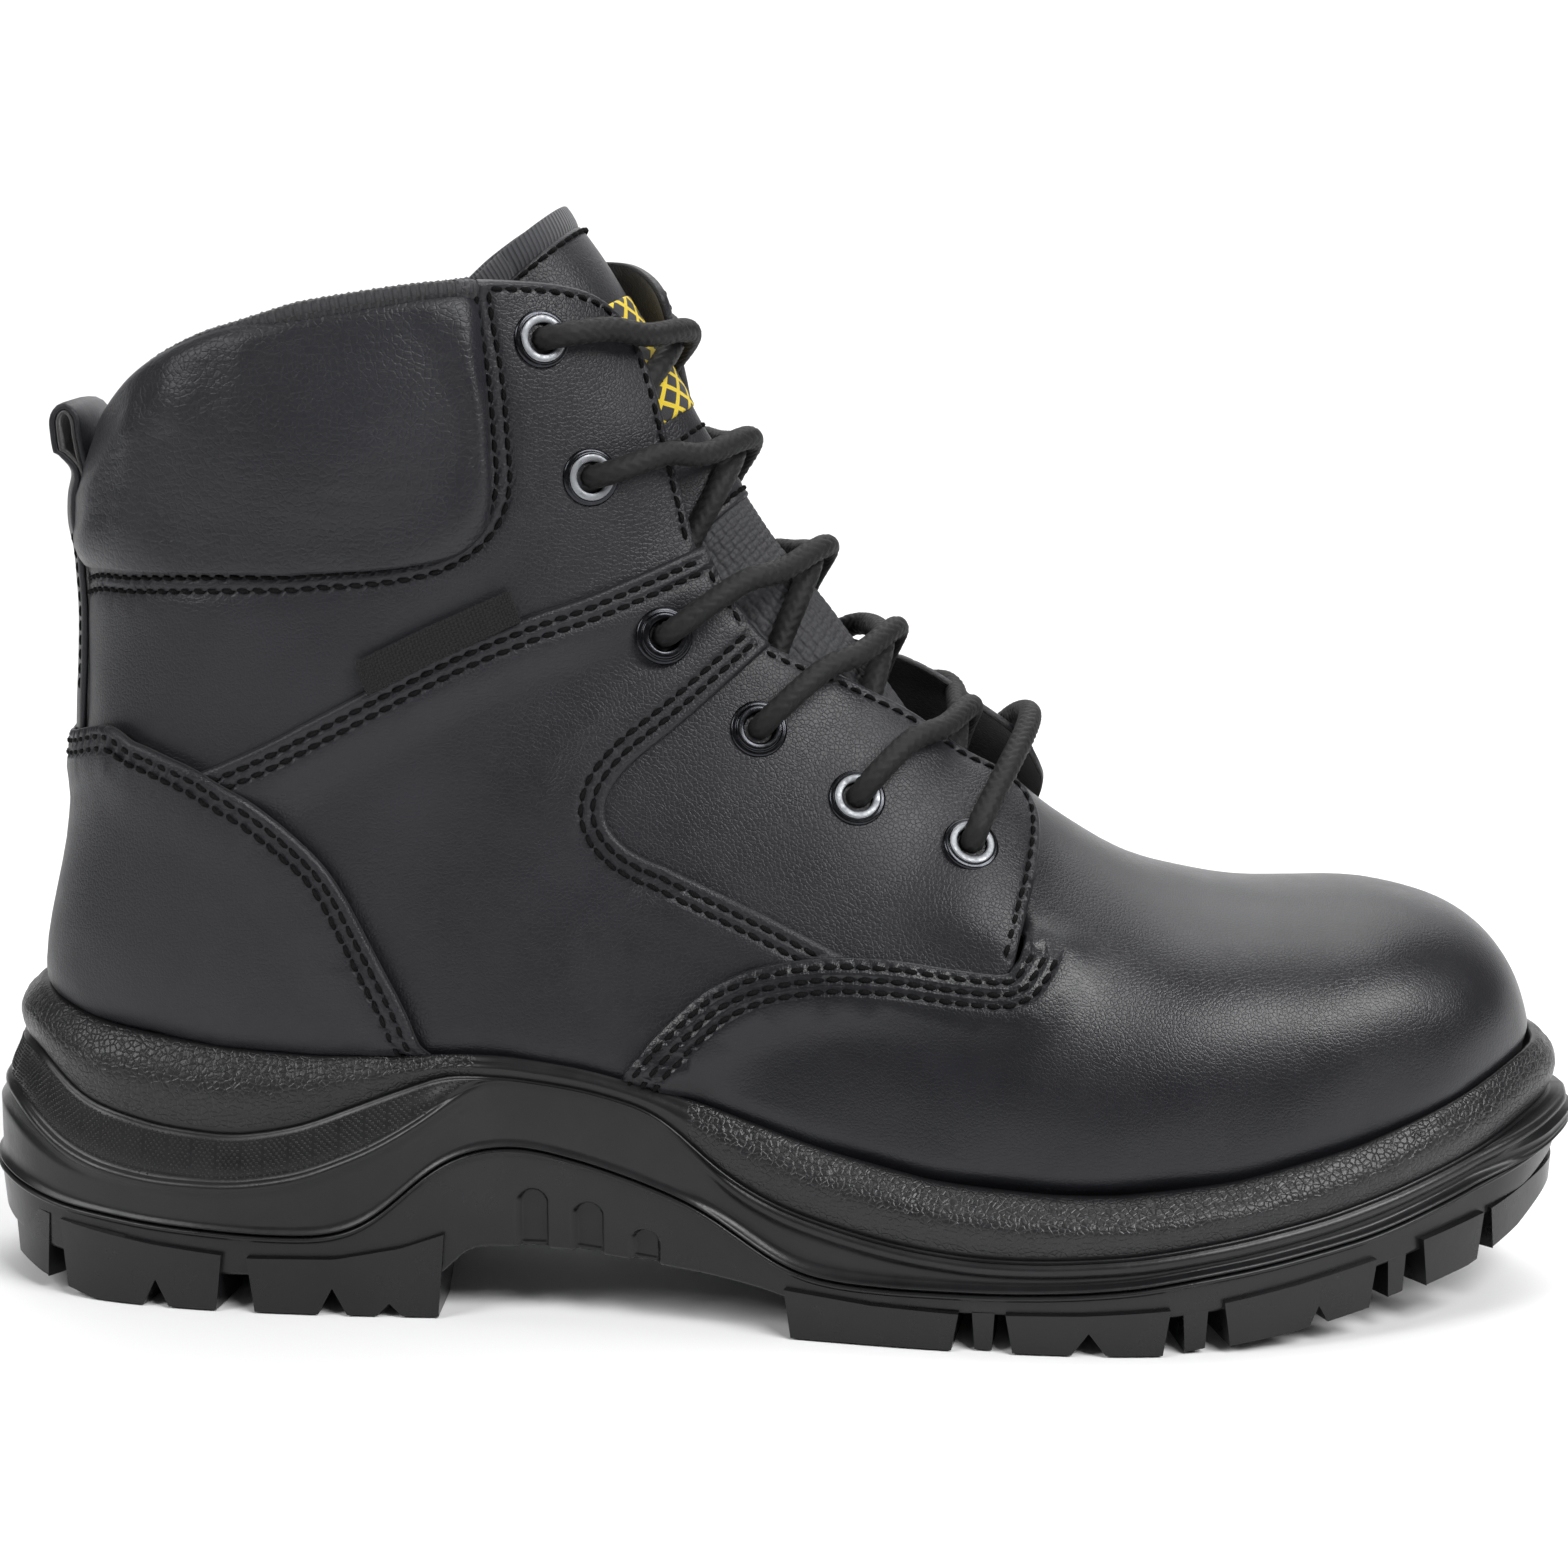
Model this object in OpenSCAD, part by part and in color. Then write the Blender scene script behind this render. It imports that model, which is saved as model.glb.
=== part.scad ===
// Six-inch lace-up safety boot, right foot. Toe towards +X, outer side of the foot towards -Y, +Z up.
// Origin: on the ground, under the middle of the boot. Millimetres.

/* [Upper] */
// Thickness of the main leather
leather_t = 1.8; // [1.4:0.1:2.0]
// Thickness of an overlaid leather panel
overlay_t = 1.5; // [1.2:0.1:1.6]
// Gap between two sewn layers
layer_gap = 0.25; // [0.2:0.05:0.3]
// Depth of the textile lining's face under the outer surface
lining_depth = 5.6; // [5.2:0.1:6.0]
// Thickness of the lining
lining_t = 1.0; // [0.8:0.1:1.2]
// Thickness of the padded collar outside the leather surface
collar_bulge = 1.8; // [1.0:0.1:3.0]

/* [Toe cap] */
// Thickness of the pressed steel cap
cap_t = 2.0; // [1.6:0.1:2.0]
// Station along the boot where the steel cap ends, counted from the toe
cap_end = 6.1; // [5.5:0.1:6.5]

/* [Eyelets and lace] */
// Inner diameter of an eyelet
eye_id = 5.6; // [5.4:0.1:5.8]
// Outer diameter of an eyelet's barrel
eye_od = 6.4; // [6.2:0.1:6.6]
// Diameter of an eyelet's flange
eye_flange = 10.6; // [10:0.2:11]
// Diameter of the round braided lace
lace_d = 4.6; // [4.2:0.1:4.8]
// Length of an aglet
aglet_l = 18; // [12:1:22]

/* [Sole] */
// Gap between the midsole and the outsole
sole_gap = 0.25; // [0.2:0.05:0.3]
// Thickness of the puncture-resistant plate
plate_t = 1.0; // [0.8:0.1:1.2]
// Thickness of the insole board
board_t = 2.0; // [1.5:0.1:2.2]
// Thickness of the footbed
footbed_t = 5.0; // [4:0.5:5.5]

/* [Hidden] */

// ---- stations of the upper's outer surface ----
// Each is a plane that holds the Y direction, from a point on the front ridge to a point on the bottom or the heel back.
// ridge x, ridge z, bottom x, bottom z, half width, ridge y, bottom y, height of the widest point, roundness above and below it
ST = [
    [148.6, 47.5, 147.5, 40, 6, 5, 5, .35, 2.3, 2.6],
    [147.6, 54, 144.5, 36, 14.5, 5, 5, .35, 2.3, 2.6],
    [144.6, 61.5, 140, 34, 21, 5, 5, .33, 2.3, 2.8],
    [138.8, 68.5, 134, 31.5, 27.5, 5, 5, .32, 2.35, 3],
    [130, 73.8, 126, 29.5, 34, 5, 4.5, .30, 2.4, 3.2],
    [118, 76.6, 115, 26, 39.5, 4.5, 4, .30, 2.4, 3.6],
    [102, 77.3, 100, 22.5, 44, 4, 3, .30, 2.35, 4],
    [84, 78.8, 79, 20, 47.5, 4, 2, .29, 2.2, 4],
    [65, 85, 54, 19, 47.5, 4, .5, .28, 2.05, 4],
    [50, 95.5, 28, 20.5, 45, 3.5, -1, .27, 1.9, 3.8],
    [38, 107.5, 0, 23.5, 41.5, 3, -2, .26, 1.8, 3.5],
    [26, 120, -30, 27, 38.5, 2.5, -2, .27, 1.75, 3.2],
    [15, 132, -62, 29, 36, 2, -1.5, .30, 1.75, 3],
    [6, 143.5, -94, 31, 34.8, 1.5, -.5, .34, 1.8, 2.8],
    [-1.5, 154, -121, 35, 34.6, 1, 0, .38, 1.85, 2.6],
    [-7, 162, -138, 45, 35, .5, 0, .41, 1.9, 2.4],
    [-11.5, 169, -143, 63, 35.6, 0, 0, .43, 1.95, 2.3],
    [-16, 176.5, -139.5, 88, 36.5, 0, 0, .45, 2, 2.2],
    [-20.5, 184, -136.5, 112, 37.3, 0, 0, .46, 2, 2.2],
    [-25, 191.5, -135.5, 134, 38, 0, 0, .47, 2.05, 2.2],
    [-30, 199.5, -134, 152, 38.5, 0, 0, .48, 2.1, 2.2],
    [-35, 207, -132, 168, 39, 0, 0, .48, 2.1, 2.2],
    [-40, 214.5, -129.5, 184, 39.5, 0, 0, .48, 2.1, 2.2]];

// ---- curves through a list of vectors ----
function cubic(a, b, c, d, f) = 0.5 * (2*b + (c - a)*f + (2*a - 5*b + 4*c - d)*f*f + (3*b - a - 3*c + d)*f*f*f);
function along(L, s) = let(n = len(L), c = max(0, min(n - 1.00001, s)), i = floor(c))
    cubic(L[max(i - 1, 0)], L[i], L[i + 1], L[min(i + 2, n - 1)], c - i);
function unit(v) = v / max(norm(v), 1e-9);
function mix(a, b, f) = a + (b - a)*f;
function sgn(x) = x < 0 ? -1 : 1;

// ---- the surface: s counts stations from the toe, u goes from 0 at the front ridge to 1 at the bottom or back ----
// u is negative on the outer side of the foot (-Y). A u beyond 1 carries on up the other side.
function wrap(u) = u > 1 ? u - 2 : u < -1 ? u + 2 : u;
function surf(s, u0) = let(q = along(ST, s), u = wrap(u0), t = abs(u), c = abs(cos(180*t)), top = t <= 0.5,
    a = top ? q[7] + (1 - q[7])*pow(c, 2/q[8]) : q[7] - q[7]*pow(c, 2/q[9]),
    y = pow(max(sin(180*t), 0), 2/(top ? q[8] : q[9])))
    [mix(q[2], q[0], a), mix(q[6], q[5], a) + sgn(u)*q[4]*y, mix(q[3], q[1], a)];
function normal(s, u) = let(e = 0.01, v = abs(abs(wrap(u)) - 1) < 0.012 ? 0.012 : 0.006)
    unit(cross(surf(s, u + v) - surf(s, u - v), surf(min(s + e, 21.99), u) - surf(max(s - e, 0), u)));
function at(s, u, o) = surf(s, u) + o*normal(s, u);

// ---- from a point of the side view to the surface ----
function beside(s, x, z) = let(q = along(ST, s)) (q[0] - q[2])*(z - q[3]) - (q[1] - q[3])*(x - q[2]);
function height(s, x, z) = let(q = along(ST, s), v = [q[0] - q[2], q[1] - q[3]]) (v * [x - q[2], z - q[3]]) / (v*v);
function halve(lo, hi, x, z, n) = n == 0 ? (lo + hi)/2 : let(m = (lo + hi)/2)
    beside(lo, x, z)*beside(m, x, z) <= 0 ? halve(lo, m, x, z, n - 1) : halve(m, hi, x, z, n - 1);
function side(x, z, sign = -1) = let(
    hit = [for (k = [0:109]) let(s = k/5) if (beside(s, x, z)*beside(s + 0.2, x, z) <= 0
        && height(s, x, z) > -0.06 && height(s, x, z) < 1.06) s],
    s = halve(hit[0], min(hit[0] + 0.2, 21.99), x, z, 12),
    q = along(ST, s), a = max(0, min(1, height(s, x, z))), m = q[7])
    [s, sign*(a > m ? acos(min(1, pow((a - m)/(1 - m), q[8]/2)))/180 : 1 - acos(min(1, pow((m - a)/m, q[9]/2)))/180)];

// ---- a shell between two offsets of the surface, ruled between two curves of [s, u] points ----
function grid_faces(n, m, flip) = let(k = m + 1, M = (n + 1)*k,
    f = [for (i = [0:n - 1], j = [0:m - 1]) let(a = i*k + j, b = a + k, c = b + 1, d = a + 1)
            each [[a, b, c], [a, c, d], [a + M, c + M, b + M], [a + M, d + M, c + M]],
         for (i = [0:n - 1]) let(a = i*k, b = a + k, d = a + m, c = b + m)
            each [[b, a, a + M], [b, a + M, b + M], [d, c, c + M], [d, c + M, d + M]],
         for (j = [0:m - 1]) let(a = j, d = j + 1, b = n*k + j, c = b + 1)
            each [[c, b, b + M], [c, b + M, c + M], [a, d, d + M], [a, d + M, a + M]]])
    flip ? [for (t = f) [t[0], t[2], t[1]]] : f;
module shell(A, B, n, m, outer, inner, flip = false) {
    su = [for (i = [0:n]) let(t = i/n*(len(A) - 1), p = along(A, t), q = along(B, t)) each [for (j = [0:m]) mix(p, q, j/m)]];
    polyhedron(points = concat([for (p = su) at(p[0], p[1], outer(p[0], p[1]))],
        [for (p = su) at(p[0], p[1], inner(p[0], p[1]))]), faces = grid_faces(n, m, flip), convexity = 6);
}
function flat_at(o) = function(s, u) o;
// the same curve on the other side of the foot
function other(L) = [for (p = L) [p[0], -p[1]]];

// ---- sole: outline x, half width, middle y ----
SOLE = [[-154.5, 0, 0], [-153.2, 9, 0], [-149.5, 17, 0], [-142, 25, 0], [-129, 32, 0], [-110, 36.5, 0], [-88, 38.5, 0],
    [-68, 38.5, -.5], [-50, 38, -1], [-30, 38.5, -2], [-10, 41.5, -2.5], [10, 45.5, -2.5], [30, 50, -1.5], [50, 53, -.6],
    [70, 54, .2], [88, 52.5, 1.8], [104, 48.5, 3.2], [118, 43, 4.2], [130, 36, 5], [140, 27.5, 5], [148, 17.5, 5],
    [153, 8.5, 5], [154.5, 0, 5]];
// height of the sole's top edge, of the line between midsole and outsole, of the foot's bottom, of the slab over the lugs and of the ground contact
Z_TOP = [[-146, 57.5], [-130, 52.5], [-102, 49], [-85, 48], [-65, 49.5], [-50, 50.5], [-34, 48.5], [-11, 43], [11, 35.5],
    [33, 30], [55, 28], [66, 28], [88, 30.5], [111, 35.5], [133, 42.5], [149, 49]];
Z_PART = [[-154, 23], [-137, 18], [-118, 16], [-97, 14.5], [-79, 15.5], [-66, 26], [-58, 31], [-49, 33], [-38, 32],
    [-21, 28.5], [-7, 20], [4, 12.7], [17, 11], [45, 11], [81, 14], [109, 18.5], [135, 25], [155, 34]];
Z_FOOT = [[-146, 38], [-126, 36], [-94, 31], [-62, 29], [-30, 27], [0, 23.5], [28, 20.5], [54, 19], [79, 20], [100, 22.5],
    [115, 26], [126, 29.5], [134, 31.5], [147, 36]];
Z_SLAB = [[-156, 14], [-150, 11], [-142, 8.5], [-125, 6.5], [-61, 6.5], [-57, 13.5], [-38, 13.5], [-11, 10.5], [0, 8.5],
    [6, 6.5], [78, 6.5], [100, 9.5], [115, 12.5], [134, 16.5], [145, 21], [155, 27]];
Z_GROUND = [[-156, 9], [-150, 6], [-142, 3], [-130, 0], [78, 0], [100, 3], [115, 6], [134, 10], [145, 14.5], [155, 21]];
RING = 44;      // samples along each side of the outline
// a point of the outline, moved in by d: i counts from the heel to the toe, sign is the side
function rim(i, sign, d) = let(p = along(SOLE, i/RING*(len(SOLE) - 1)), k = 1 - d/154.5)
    [p[0]*k, p[2] + sign*max(p[1] - d*min(1, p[1]/15), 0)];
RING_IDS = concat([for (i = [0:RING]) [i, -1]], [for (i = [1:RING - 1]) [RING - i, 1]]);
function ring(d, z) = [for (r = RING_IDS) let(p = rim(r[0], r[1], d)) [p[0], p[1], z(p[0])]];
// the line where the upper meets the sole's top edge
function seat(i, sign, o) = let(x = -141.5 + 290*(1 - cos(180*i/RING))/2, z = lookup(x, Z_TOP))
    i == 0 ? at(15.72, 1, o) : i == RING ? at(0.25, 0, o) : let(q = side(min(x, 148.2), z, sign)) at(q[0], q[1], o);
SEAT = [for (r = RING_IDS) seat(r[0], r[1], 0.4)];
// faces of a stack of rings, closed at both ends by strips across the sole
// turned: the row whose quads are split along the other diagonal, so that it mates with the piece above
function stack_faces(rows, turned) = let(n = len(RING_IDS), K = RING)
    [for (r = [0:rows - 2], i = [0:n - 1]) let(a = r*n + i, b = r*n + (i + 1)%n, c = b + n, d = a + n)
        each r == turned ? [[a, b, d], [b, c, d]] : [[a, b, c], [a, c, d]],
     for (e = [0, 1]) let(o = e*(rows - 1)*n) for (i = [0:K - 1]) let(
        l0 = o + i, l1 = o + i + 1, m0 = o + (i == 0 ? 0 : n - i), m1 = o + (i == K - 1 ? K : n - i - 1))
        each [for (t = [[l0, m1, l1], [l0, m0, m1]]) if (t[0] != t[1] && t[1] != t[2] && t[0] != t[2])
            (e == 0 ? t : [t[0], t[2], t[1]])]];
module stack(rows, turned = -1) polyhedron(points = [for (r = rows) each r], faces = stack_faces(len(rows), turned), convexity = 8);
function z_core(x) = min(lookup(x, Z_PART), lookup(x, Z_FOOT) - 5);

module midsole() color([0.09, 0.09, 0.10]) stack([
    [for (p = SEAT) [p[0], p[1], lookup(p[0], Z_FOOT) - 0.3]],
    SEAT,
    ring(4.2, function(x) lookup(x*1.02, Z_TOP) - 0.6),
    ring(1.8, function(x) mix(lookup(x, Z_TOP), lookup(x, Z_PART), 0.28)),
    ring(0.2, function(x) mix(lookup(x, Z_TOP), lookup(x, Z_PART), 0.65)),
    ring(1.0, function(x) lookup(x, Z_PART)),
    ring(8.0, function(x) z_core(x))]);

// a tread block between two places along the outline, from inset d0 to inset d1
function at_x(x, sign, d) = let(k = [for (i = [0:RING - 1]) if (along(SOLE, i/RING*22)[0] <= x && along(SOLE, (i + 1)/RING*22)[0] >= x) i][0],
    a = along(SOLE, k/RING*22)[0], b = along(SOLE, (k + 1)/RING*22)[0], p = rim(k + (x - a)/(b - a), sign, d)) [x, p[1]];
module block(xa, xb, sign, d0 = 1.2, d1 = 17, taper = 1.1) {
    xm = (xa + xb)/2;
    top = [for (x = [xa, xm, xb]) for (d = [d0, d1]) let(p = at_x(x, sign, d)) [p[0], p[1], lookup(p[0], Z_SLAB) + 0.6]];
    low = [for (x = [xa + taper, xm, xb - taper]) for (d = [d0 + taper, d1 - taper]) let(p = at_x(x, sign, d))
        [p[0], p[1], lookup(p[0], Z_GROUND)]];
    hull() polyhedron(points = concat(top, low), faces = [[0, 1, 3], [0, 3, 2], [2, 3, 5], [2, 5, 4], [6, 9, 7], [6, 8, 9], [8, 11, 9], [8, 10, 11],
        [0, 7, 1], [0, 6, 7], [4, 5, 11], [4, 11, 10], [0, 2, 8], [0, 8, 6], [2, 4, 10], [2, 10, 8], [1, 7, 9], [1, 9, 3], [3, 9, 11], [3, 11, 5]]);
}
HEEL_BLOCKS = [[-149, -139], [-137.5, -118.5], [-117, -103.5], [-98.5, -83.5], [-80.5, -72], [-69, -60.5]];
FORE_BLOCKS = [[5, 37], [45.5, 60], [62, 76], [86, 103], [105, 115], [123, 134.5], [136, 145.5]];
STUDS = [[39, 43.5], [78.5, 83.5], [117.5, 121]];
module outsole() color([0.07, 0.07, 0.08]) union() {
    stack([
        ring(8.0, function(x) z_core(x) - sole_gap),
        ring(1.0, function(x) lookup(x, Z_PART) - sole_gap),
        ring(0, function(x) mix(lookup(x, Z_PART), lookup(x, Z_SLAB), 0.3) - sole_gap),
        ring(1.2, function(x) lookup(x, Z_SLAB))], 0);
    for (s = [-1, 1]) {
        for (b = HEEL_BLOCKS) block(b[0], b[1], s);
        for (b = FORE_BLOCKS) block(b[0], b[1], s);
        for (b = STUDS) block(b[0], b[1], s, 3, 13, 0.6);
    }
    for (x = [-128, -108, -89, -71]) block(x - 5, x + 5, -1, 22, 46);
    for (x = [14, 32, 50, 68, 92]) block(x - 5.5, x + 5.5, -1, 24, 68);
    for (x = [112]) block(x - 5, x + 5, -1, 22, 52);
}

// ---- flat pieces inside the sole: outline x, outer y, inner y ----
INSOLE = [[-124, -9, 9], [-118, -17, 17], [-105, -23, 23], [-85, -25.5, 25.5], [-60, -26, 26], [-30, -28.5, 24.5],
    [0, -32.5, 26.5], [30, -35.5, 31.5], [58, -35.5, 35.5], [82, -33, 37], [100, -28.5, 35.5], [114, -22.5, 31],
    [124, -15, 24.5], [131, -6, 16.5]];
module plate(z0, z1, w, n = 30, xs = 1) {
    P = [for (i = [0:n]) let(p = along(INSOLE, i/n*13), c = (p[1] + p[2])/2, z = lookup(p[0]*xs, Z_FOOT))
        [[p[0]*xs, c + (p[1] - c)*w, z + z0], [p[0]*xs, c + (p[2] - c)*w, z + z0], [p[0]*xs, c + (p[2] - c)*w, z + z1], [p[0]*xs, c + (p[1] - c)*w, z + z1]]];
    polyhedron(points = [for (r = P) each r], faces = concat(
        [for (i = [0:n - 1], j = [0:3]) let(a = 4*i + j, b = 4*i + (j + 1)%4, c = b + 4, d = a + 4) each [[a, c, b], [a, d, c]]],
        [[0, 1, 2], [0, 2, 3], [4*n, 4*n + 2, 4*n + 1], [4*n, 4*n + 3, 4*n + 2]]), convexity = 4);
}
module puncture_plate() color([0.62, 0.63, 0.65]) plate(0, plate_t, 0.95);
module insole_board() color([0.72, 0.62, 0.47]) plate(plate_t + 0.3, plate_t + 0.3 + board_t, 0.95, xs = 0.99);
module footbed() color([0.16, 0.16, 0.17]) plate(plate_t + board_t + 0.8, plate_t + board_t + 0.8 + footbed_t, 0.88, xs = 0.965);

// ---- upper ----
COUNTER_TOP = [side(-66, 53.5), side(-71, 66), side(-79.5, 82), side(-90, 95), side(-103.5, 104.5), side(-117.5, 109.5), [18.0, -1]];
COUNTER_LOW = [side(-69.5, 51.5), side(-76, 51), side(-85, 51.5), side(-97, 52.5), side(-111, 54.5), side(-126, 57.5), [16.05, -1]];
// the quarter: from the heel seam along the sole, up the vamp's edge; and along the slanting seam to the front edge
Q_LOW = [[16.3, -.985], side(-130, 46), side(-112, 43), side(-90, 42), side(-62, 42), side(-45, 42), side(-29, 42), side(-24, 55),
    side(-12.7, 64), side(5.5, 70), side(25, 70.6), side(44, 67)];
Q_TOP = [[17.85, -.985], side(-118, 106), side(-104, 102.5), side(-88, 110), side(-70, 118.8), side(-45, 131), side(-14.5, 142.8),
    side(-2, 127.5), side(13, 120.5), side(28, 111.5), side(42, 100.5), side(49.5, 88)];
module quarter(flip) {
    A = flip ? other(Q_LOW) : Q_LOW; B = flip ? other(Q_TOP) : Q_TOP;
    difference() {
        shell(A, B, 33, 8, flat_at(0), flat_at(-leather_t), !flip);
        window(flip);
        for (k = [2:2]) eye_place(k, flip ? 1 : -1) cylinder(d = eye_od + 0.5, h = 14, center = true, $fn = 32);
    }
}
module quarter_lateral() color([0.11, 0.11, 0.12]) quarter(false);
module quarter_medial() color([0.11, 0.11, 0.12]) quarter(true);

U_LOW = [[18.15, -.985], side(-122, 112), side(-111, 108.5), side(-98, 108), side(-86, 113), side(-75, 118.5), side(-64, 123.7), side(-54, 128.5),
    side(-46, 132), side(-38, 135), side(-31, 137.8), side(-24, 140.3), side(-19, 142.2), side(-15, 144)];
U_TOP = [[19.25, -.985], side(-113, 142.3), side(-96, 143), side(-80, 143.6), side(-66.5, 144.7), side(-56.5, 148.5), side(-51.5, 157), side(-51.5, 168),
    side(-56, 193.2), side(-47, 194.3), side(-37, 192.7), side(-26, 184.5), side(-20.5, 169), side(-14, 149)];
module upper_quarter(flip) {
    A = flip ? other(U_LOW) : U_LOW; B = flip ? other(U_TOP) : U_TOP;
    difference() {
        shell(A, B, 39, 5, flat_at(0), flat_at(-leather_t), !flip);
        for (k = [0:1]) eye_place(k, flip ? 1 : -1) cylinder(d = eye_od + 0.5, h = 14, center = true, $fn = 32);
    }
}
module upper_quarter_lateral() color([0.12, 0.12, 0.13]) upper_quarter(false);
module upper_quarter_medial() color([0.12, 0.12, 0.13]) upper_quarter(true);

// the facing fills a window that is cut out of the quarter
F_LOW = [side(-4, 127), side(-8, 122), side(-13, 116.5), side(-22, 109), side(-31, 101.5), side(-32.5, 97), side(-31.5, 93),
    side(-26, 87), side(-15, 81.8), side(0, 76.8), side(15, 72.8), side(30, 71), side(44, 68)];
F_TOP = [side(-2, 128), side(3, 125), side(8, 122.8), side(13, 120.5), side(18.5, 117.5), side(23.5, 114.5), side(28, 111.5),
    side(33, 108), side(38, 104), side(43, 99.5), side(48, 94), side(49.5, 86), side(48.3, 76)];
W_LOW = [side(-7, 130), side(-9.5, 123), side(-14, 117), side(-23, 109.5), side(-32, 101.8), side(-33.3, 97), side(-32.2, 92.5),
    side(-26.6, 86.2), side(-15.4, 80.9), side(-0.6, 75.6), side(14, 68), side(30, 66), side(46, 60)];
W_TOP = [for (i = [0:12]) [F_TOP[i][0] - (i > 9 ? 0.12*(i - 9) : 0), F_TOP[i][1] + 0.06]];
module window(flip) shell(flip ? other(W_LOW) : W_LOW, flip ? other(W_TOP) : W_TOP, 24, 3, flat_at(3), flat_at(-5), !flip);
module facing(flip) {
    A = flip ? other(F_LOW) : F_LOW; B = flip ? other(F_TOP) : F_TOP;
    difference() {
        shell(A, B, 30, 5, flat_at(0), flat_at(-leather_t), !flip);
        for (k = [3:5]) eye_place(k, flip ? 1 : -1) cylinder(d = eye_od + 0.5, h = 14, center = true, $fn = 32);
    }
}
module facing_lateral() color([0.13, 0.13, 0.14]) facing(false);
module facing_medial() color([0.13, 0.13, 0.14]) facing(true);

// the vamp: rear edge as [u, s], from the bottom of one side over the ridge
VAMP_EDGE = [[-.8, 11.1], [-.62, 11.1], [-.53, 11.15], [-.47, 11.05], [-.43, 10.8], [-.40, 10.4], [-.375, 9.9], [-.35, 9.3], [-.32, 8.85],
    [-.26, 8.75], [-.18, 8.8], [-.09, 8.85], [0, 8.9]];
function both(L) = concat(L, [for (i = [len(L) - 2:-1:0]) [-L[i][0], L[i][1]]]);
module vamp() color([0.10, 0.10, 0.11]) shell([for (p = both(VAMP_EDGE)) [0.3, p[0]]], [for (p = both(VAMP_EDGE)) [p[1], p[0]]],
    32, 12, flat_at(0), flat_at(-leather_t), false);
module vamp_lining() color([0.35, 0.35, 0.36]) shell([for (u = [-6:6]) [0.9, u/10]], [for (u = [-6:6]) [8.7, u/10]],
    15, 10, flat_at(lining_t - lining_depth), flat_at(-lining_depth), false);
module steel_toecap() color([0.66, 0.67, 0.69]) shell([for (u = [-6:6]) [0.55, u/9.7]], [for (u = [-6:6]) [cap_end - 0.3*pow(u/6, 2), u/9.7]],
    20, 12, flat_at(-2.2), flat_at(-2.2 - cap_t), false);
module toecap_edge_strip() color([0.2, 0.2, 0.2]) shell([for (u = [-6:6]) [cap_end + 0.02 - 0.3*pow(u/6, 2), u/9.7]], [for (u = [-6:6]) [cap_end + 0.4 - 0.3*pow(u/6, 2), u/9.7]],
    20, 2, flat_at(-2.2), flat_at(-2.2 - cap_t), false);

module heel_counter() color([0.12, 0.12, 0.13]) shell(concat(COUNTER_LOW, [for (i = [5:-1:0]) [COUNTER_LOW[i][0], -2 - COUNTER_LOW[i][1]]]),
    concat(COUNTER_TOP, [for (i = [5:-1:0]) [COUNTER_TOP[i][0], -2 - COUNTER_TOP[i][1]]]),
    36, 7, flat_at(layer_gap + 0.45 + overlay_t), flat_at(layer_gap + 0.45), true);
H_LOW = [side(-72, 44), side(-90, 45), side(-112, 47), side(-128, 50), [16.4, -1]];
H_TOP = [side(-76, 72), side(-88, 86), side(-103, 94), side(-118, 97), [17.5, -1]];
module heel_stiffener() color([0.55, 0.52, 0.46]) shell(concat(H_LOW, [for (i = [3:-1:0]) [H_LOW[i][0], -2 - H_LOW[i][1]]]),
    concat(H_TOP, [for (i = [3:-1:0]) [H_TOP[i][0], -2 - H_TOP[i][1]]]),
    24, 5, flat_at(-2.1), flat_at(-3.4), true);

// lining and foam of one side
LIN_LOW = [side(36, 29.5), side(24, 30), side(4, 33), side(-24, 36), side(-52, 38), side(-80, 39), side(-104, 41.5), side(-124, 46), [16.3, -.985],
    [18.3, -.985], [20.55, -.985]];
LIN_TOP = [[9.05, -.34], [9.7, -.34], [10.5, -.34], [11.4, -.34], [12.4, -.34], [13.5, -.34], [14.8, -.34], [16.2, -.34], [17.6, -.34], [19, -.345], [20.35, -.36]];
module lining(flip) shell(flip ? other(LIN_LOW) : LIN_LOW, flip ? other(LIN_TOP) : LIN_TOP, 20, 8,
    flat_at(lining_t - lining_depth), flat_at(-lining_depth), !flip);
module quarter_lining_lateral() color([0.33, 0.33, 0.34]) lining(false);
module quarter_lining_medial() color([0.33, 0.33, 0.34]) lining(true);
FOAM_LOW = [side(20, 45), side(0, 47), side(-24, 50), side(-48, 56), side(-66, 76), side(-80, 92), side(-98, 102), side(-118, 106)];
FOAM_TOP = [[10.4, -.37], [11, -.37], [11.8, -.37], [12.8, -.37], side(-42, 121), side(-58, 130), side(-82, 139), side(-116, 139)];
module foam(flip) shell(flip ? other(FOAM_LOW) : FOAM_LOW, flip ? other(FOAM_TOP) : FOAM_TOP, 16, 6, flat_at(-2.1), flat_at(-4.3), !flip);
module quarter_foam_lateral() color([0.8, 0.78, 0.6]) foam(false);
module quarter_foam_medial() color([0.8, 0.78, 0.6]) foam(true);

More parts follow.
